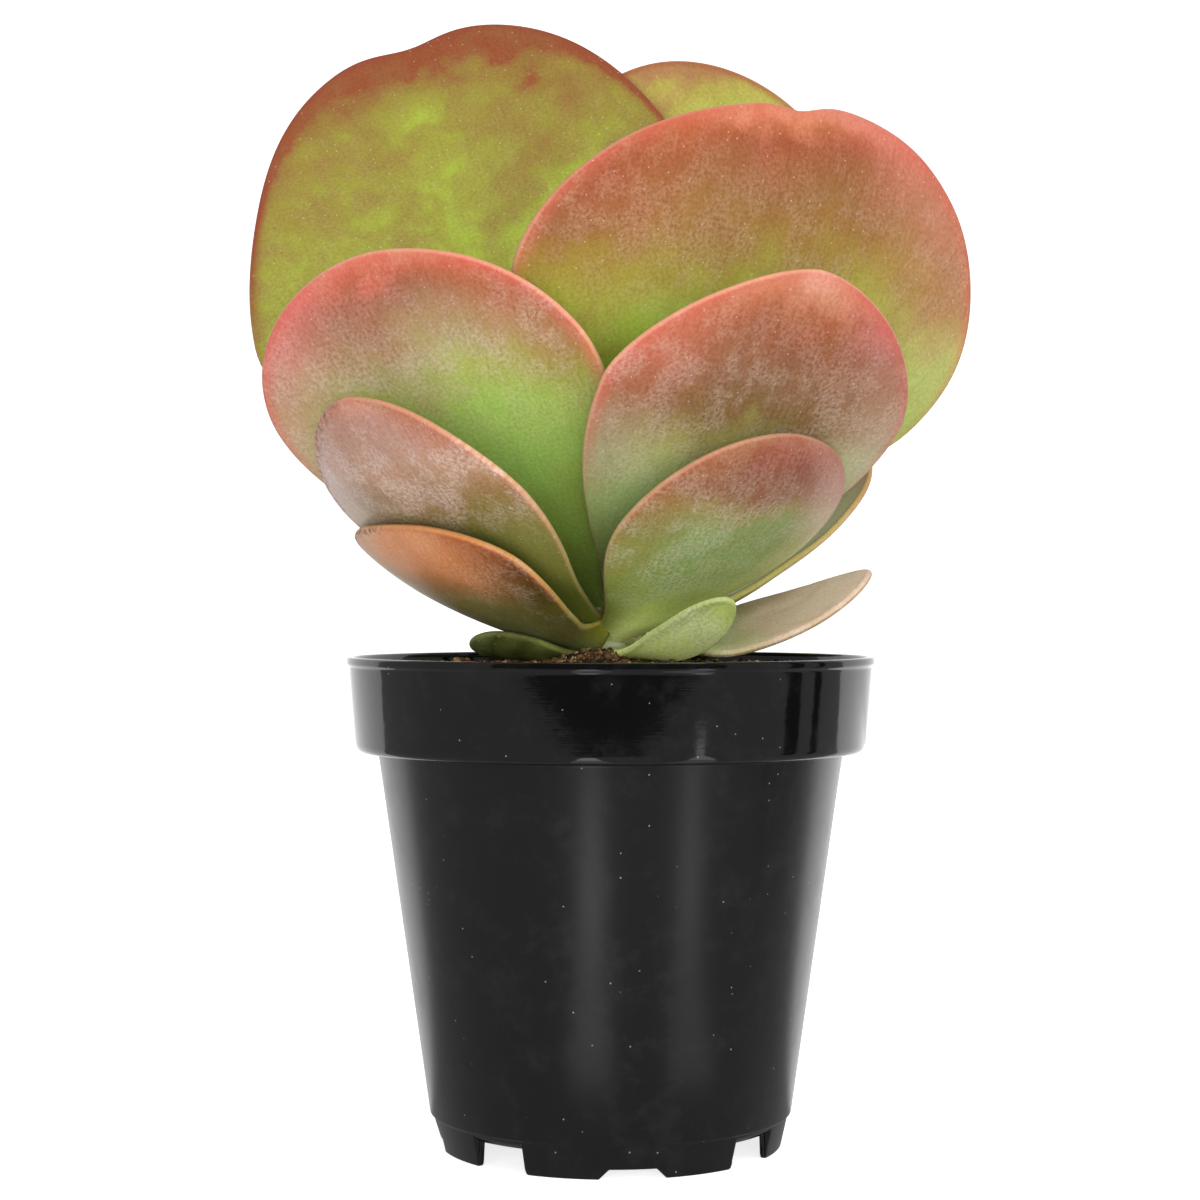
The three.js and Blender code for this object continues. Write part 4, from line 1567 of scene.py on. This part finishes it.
# Painted light: the palest greens at the foot of its outer face lift the shade round the stem
RED_TIPPED_SKIN = LeafSkin(
    "grey-green leaf skin with red tip", inner=GREEN_INSIDE, wander=0.06, seed=61.0,
    outer=((0.12, "#f0fca4"), (0.22, "#c8dc78"), (0.32, "#9cb058"), (0.44, "#829a50"), (0.56, "#7c9450"),
           (0.66, "#849456"), (0.73, "#8c8048"), (0.79, "#84563a"), (0.88, "#824634"), (0.95, "#944c3a"),
           (1.0, "#a86a50")),
    left=((0.25, "#8c9c44"), (0.5, "#86883e"), (0.6, "#867a40"), (0.7, "#8e6836"), (0.8, "#8e5434"),
          (0.92, "#a06440"), (1.0, "#9a7a50")),
    right=((0.25, "#acc05c"), (0.5, "#aeb868"), (0.62, "#b6a880"), (0.75, "#b48c78"), (0.86, "#ac7866"),
           (0.94, "#aa6c5e"), (1.0, "#b07e64")),
    band="#a04e40", band_width=1.6, band_share=0.4, edge="#c7a082", bloom=0.42, bloom_start=0.2,
    bloom_color="#ccc8b2",
)
MAUVE_SKIN = LeafSkin(
    "mauve leaf skin with heavy bloom", inner=GREEN_INSIDE, dirt=0.6, seed=79.0, wander=0.06,
    outer=((0.12, "#808e3c"), (0.34, "#74823a"), (0.5, "#6c7032"), (0.6, "#766e30"), (0.66, "#867038"),
           (0.71, "#a07a56"), (0.77, "#b68a6c"), (0.83, "#ba907c"), (0.88, "#b48672"), (0.93, "#ba8876"),
           (0.97, "#c88a74"), (1.0, "#cc8e6c")),
    left=((0.3, "#96925a"), (0.5, "#b0a07c"), (0.62, "#d2bcaa"), (0.74, "#d6c0b4"), (0.82, "#c8a498"),
          (0.88, "#bc9484"), (0.95, "#b88270"), (1.0, "#b87e62")),
    right=((0.2, "#6c762c"), (0.5, "#7c8040"), (0.6, "#887e40"), (0.68, "#94703e"), (0.76, "#b88c66"),
           (0.84, "#ba7e62"), (0.92, "#b87458"), (1.0, "#a87850")),
    band="#b8604e", band_width=1.0, band_share=0.45, edge="#cfa880", bloom=0.6, bloom_start=0.67,
    bloom_color="#ece2da",
)
ROSE_BROWN_SKIN = LeafSkin(
    "rose-brown leaf skin with grey-green foot", inner=GREEN_INSIDE, seed=89.0, wander=0.06,
    outer=((0.15, "#82984e"), (0.4, "#a2c278"), (0.5, "#a8bc76"), (0.57, "#949050"), (0.64, "#74582e"),
           (0.72, "#7e5639"), (0.8, "#865437"), (0.87, "#8e4e32"), (0.92, "#a05a3c"), (0.96, "#c07a5e"),
           (1.0, "#daa28e")),
    left=((0.15, "#768648"), (0.38, "#8c9a60"), (0.5, "#94906a"), (0.6, "#967a5c"), (0.67, "#98583c"),
          (0.76, "#b2604a"), (0.87, "#b8644a"), (0.95, "#c07450"), (1.0, "#bf8a68")),
    right=((0.3, "#a6b074"), (0.55, "#aca884"), (0.65, "#a88a72"), (0.74, "#a06e58"), (0.82, "#a6685a"),
           (0.88, "#bc645e"), (0.95, "#c06a56"), (1.0, "#c68c66")),
    band="#c05c4c", band_width=2.0, band_share=0.55, edge="#dcb090", bloom=0.34, bloom_start=0.5,
    bloom_color="#d2c6b4",
)
CORAL_SKIN = LeafSkin(
    "coral leaf skin with green foot", inner=GREEN_INSIDE, seed=103.0, wander=0.065,
    outer=((0.15, "#7e983c"), (0.3, "#8cac50"), (0.45, "#9cc462"), (0.6, "#a3c65e"), (0.69, "#a6ae58"),
           (0.75, "#aaa26c"), (0.81, "#a4845c"), (0.87, "#9a6a4e"), (0.92, "#a05c44"), (0.96, "#c0604a"),
           (1.0, "#d07e64")),
    left=((0.35, "#b4b67c"), (0.58, "#c0ae84"), (0.67, "#bc9876"), (0.75, "#b8866e"), (0.82, "#c67c70"),
          (0.9, "#cc6a62"), (0.96, "#ce7468"), (1.0, "#dea088")),
    right=((0.25, "#88a04a"), (0.46, "#92ac54"), (0.58, "#949e46"), (0.67, "#9c7840"), (0.75, "#a66c48"),
           (0.85, "#ac5a3c"), (0.93, "#bc5e3c"), (1.0, "#cc9068")),
    band="#d05e52", band_width=2.2, band_share=0.55, edge="#e0b494", bloom=0.5, bloom_start=0.62,
    bloom_color="#d2c4b0",
)
CLOUDED_SKIN = LeafSkin(
    "coral leaf skin with brown clouds", inner=LIME_INSIDE, seed=131.0, wander=0.065,
    outer=((0.15, "#9ed040"), (0.4, "#9cc040"), (0.55, "#a4b84c"), (0.63, "#9c9c3e"), (0.7, "#927c36"),
           (0.76, "#8a662e"), (0.83, "#875a33"), (0.88, "#8a5231"), (0.92, "#8f4a2d"), (0.96, "#bd6e50"),
           (1.0, "#cc8a6c")),
    left=((0.4, "#98ae3c"), (0.52, "#929830"), (0.6, "#8c7428"), (0.67, "#85502c"), (0.75, "#904c30"),
          (0.83, "#96492c"), (0.9, "#a85838"), (0.96, "#bc6c4c"), (1.0, "#c08868")),
    right=((0.3, "#acc060"), (0.55, "#b0bc6c"), (0.62, "#ae9e60"), (0.68, "#a4784e"), (0.75, "#a46e50"),
           (0.82, "#ae7058"), (0.88, "#b46c56"), (0.93, "#ba6654"), (1.0, "#cc9080")),
    band="#be5a4a", band_width=2.0, band_share=0.55, edge="#d4a088", bloom=0.3, bloom_start=0.62,
    bloom_color="#ccb49a", veins=0.2,
)
# Painted light: its greens are painted much paler than the young shoot leaf, to lift the shade low by the
# pot's rim
FRESH_SKIN = LeafSkin(
    "fresh green leaf skin with pale mottling", wander=0.2, band_share=0.0,
    inner=((0.0, "#e8f884"), (0.6, "#dcec90"), (1.0, "#a4b262")),
    outer=((0.0, "#e8f884"), (0.4, "#e0f08c"), (0.7, "#c8d88c"), (0.88, "#a8b862"), (1.0, "#8c9a50")),
    left=((0.0, "#c4d05c"), (0.4, "#b0bc60"), (0.7, "#92a05a"), (1.0, "#808a44")),
    edge="#d0d8a0", bloom=0.5, bloom_start=0.2, bloom_color="#e4ecc4", seed=139.0,
)
# Its dark greens are partly the shoot leaf's own dark, damaged skin and partly painted shade, where it lies
# under the larger leaves
DARK_SKIN = LeafSkin(
    "dark olive leaf skin", wander=0.25, band_share=0.0, veins=0.5, vein_color="#4c4020",
    inner=((0.2, "#36421a"), (0.38, "#6e7c3c"), (0.5, "#3a461c"), (0.62, "#5e6c32"),
           (0.75, "#38441a"), (0.9, "#86905a")),
    outer=((0.2, "#4a5824"), (0.38, "#74823e"), (0.5, "#465222"), (0.62, "#6c7a38"), (0.75, "#424e20"),
           (0.9, "#7c8a4c")),
    edge="#7c7444", bloom=0.3, bloom_start=0.0, bloom_color="#7e8850", seed=149.0,
)

LEAVES = (
    PaddleLeaf("leaf_1_left", "blushed_leaf", LOWEST_LEFT, -68, -52, (11, 45), 51.5, 55, 0.73, 1.6, 2.2,
               ORANGE_SKIN, turn=-3, sweep=0.027, cup=0.007, skew=-0.045),
    PaddleLeaf("leaf_1_right", "rosy_leaf", LOWEST, 112, 84, (-4, 37), 54.5, 37, 0.47, 1.35, 1.6,
               CHALKY_SKIN, turn=15, cup=0.006, skew=0.045, nicks=(Nick(0.76, 1, 0.035, 1.1),)),
    PaddleLeaf("leaf_2_front_right", "green_leaf", SECOND, 45, 45, (20, 58), 62.8, 58, 0.63, 1.5, 1.95,
               RED_TIPPED_SKIN, sweep=-0.034, cup=0.008, skew=0.04),
    PaddleLeaf("leaf_2_back_left", "green_leaf", SECOND, 225, 217, (34, 46), 64, 52, 0.62, 1.3, 2,
               GREEN_SKIN),
    PaddleLeaf("leaf_3_front_left", "rosy_leaf", THIRD, -43, -48, (14, 58), 76, 61, 0.623, 1.5, 1.77,
               MAUVE_SKIN, turn=-1, sweep=-0.015, skew=0.03),
    PaddleLeaf("leaf_3_back_right", "green_leaf", THIRD, 135, 132, (-2, 64), 83, 52.5, 0.64, 1.33, 2,
               SHADED_SKIN, turn=-15, cup=0.005, skew=-0.02),
    PaddleLeaf("leaf_4_front_right", "rosy_leaf", FOURTH, 42, 38, (33, 59.5), 89.2, 74.5, 0.666, 1.18, 1.6,
               ROSE_BROWN_SKIN, turn=-4, sweep=-0.013, cup=0.002, skew=-0.025),
    PaddleLeaf("leaf_4_back_left", "green_leaf", FOURTH, 225, 219, (37.5, 55), 98, 71, 0.615, 1.29, 2,
               GREEN_SKIN, turn=-2.6, sweep=-0.008),
    PaddleLeaf("leaf_5_front_left", "blushed_leaf", FIFTH, -45, -47.4, (34.8, 58.6), 89, 80, 0.665, 1.24, 1.9,
               CORAL_SKIN, turn=14.4, sweep=0.025, cup=-0.001, rows=96, around=112),
    PaddleLeaf("leaf_5_back_right", "lime_leaf", FIFTH, 138, 160, (48.5, 82), 136.7, 81, 0.62, 1.4, 1.96,
               PALE_LIME_SKIN, turn=6, sweep=0.078, skew=-0.03, rows=96, around=112),
    PaddleLeaf("leaf_6_front_right", "blushed_leaf", SIXTH, 45, 52, (42, 89.5), 106.4, 110.5, 0.593, 1.4,
               1.85, CLOUDED_SKIN, turn=-19, sweep=0.043, cup=0.001, skew=-0.007, notch=0.037, lobe=-0.032,
               lobe_phase=-26, rows=96, around=128),
    PaddleLeaf("leaf_6_back_left", "lime_leaf", SIXTH, 225, 213.7, (62.7, 52), 145.4, 107, 0.516, 1.41, 2.29,
               LIME_SKIN, turn=-31, sweep=-0.02, cup=0.003, skew=-0.02, notch=0.044, lobe=0.06,
               lobe_phase=-13.6, rows=96, around=128),
    *(
        PaddleLeaf(name, "lime_leaf", YOUNGEST, azimuth, azimuth, (76, 86), 30, 17, 0.63, 1.4, 2, LIME_SKIN,
                   cup=0.03, foot_thickness=2, thickness=2, around=48, rows=40)
        for name, azimuth in (("leaf_7_front_left", -45), ("leaf_7_back_right", 135))
    ),
    PaddleLeaf("shoot_leaf_right", "fresh_leaf", SHOOT_RIGHT, 70, 59, (-1, 36), 33, 12.5, 0.61, 1.3, 1.8,
               FRESH_SKIN, turn=-32, sweep=-0.09, cup=0.008, skew=-0.07, foot_thickness=1.6, thickness=1.8,
               around=64, rows=56, swell=0.15),
    PaddleLeaf("shoot_leaf_left", "dark_leaf", SHOOT_LEFT, -95, -95, (1, 11), 25, 12.5, 0.72, 1.5, 2,
               DARK_SKIN, turn=25, sweep=-0.024, cup=0.05, skew=-0.024, foot_thickness=1.6, thickness=1.6,
               around=64, rows=48, swell=0.15),
)


def main() -> None:
    """Builds the studio and then the part, from the pot up."""
    logging.basicConfig(level=logging.INFO, format="%(message)s")
    Studio().build()
    pot = NurseryPot()
    pot.build()
    soil = Soil(pot)
    soil.bed()
    soil.loose()
    stem = Stem()
    stem.build_stem()
    stem.build_shoot()
    for leaf in LEAVES:
        leaf.build()


if __name__ == "__main__":
    main()
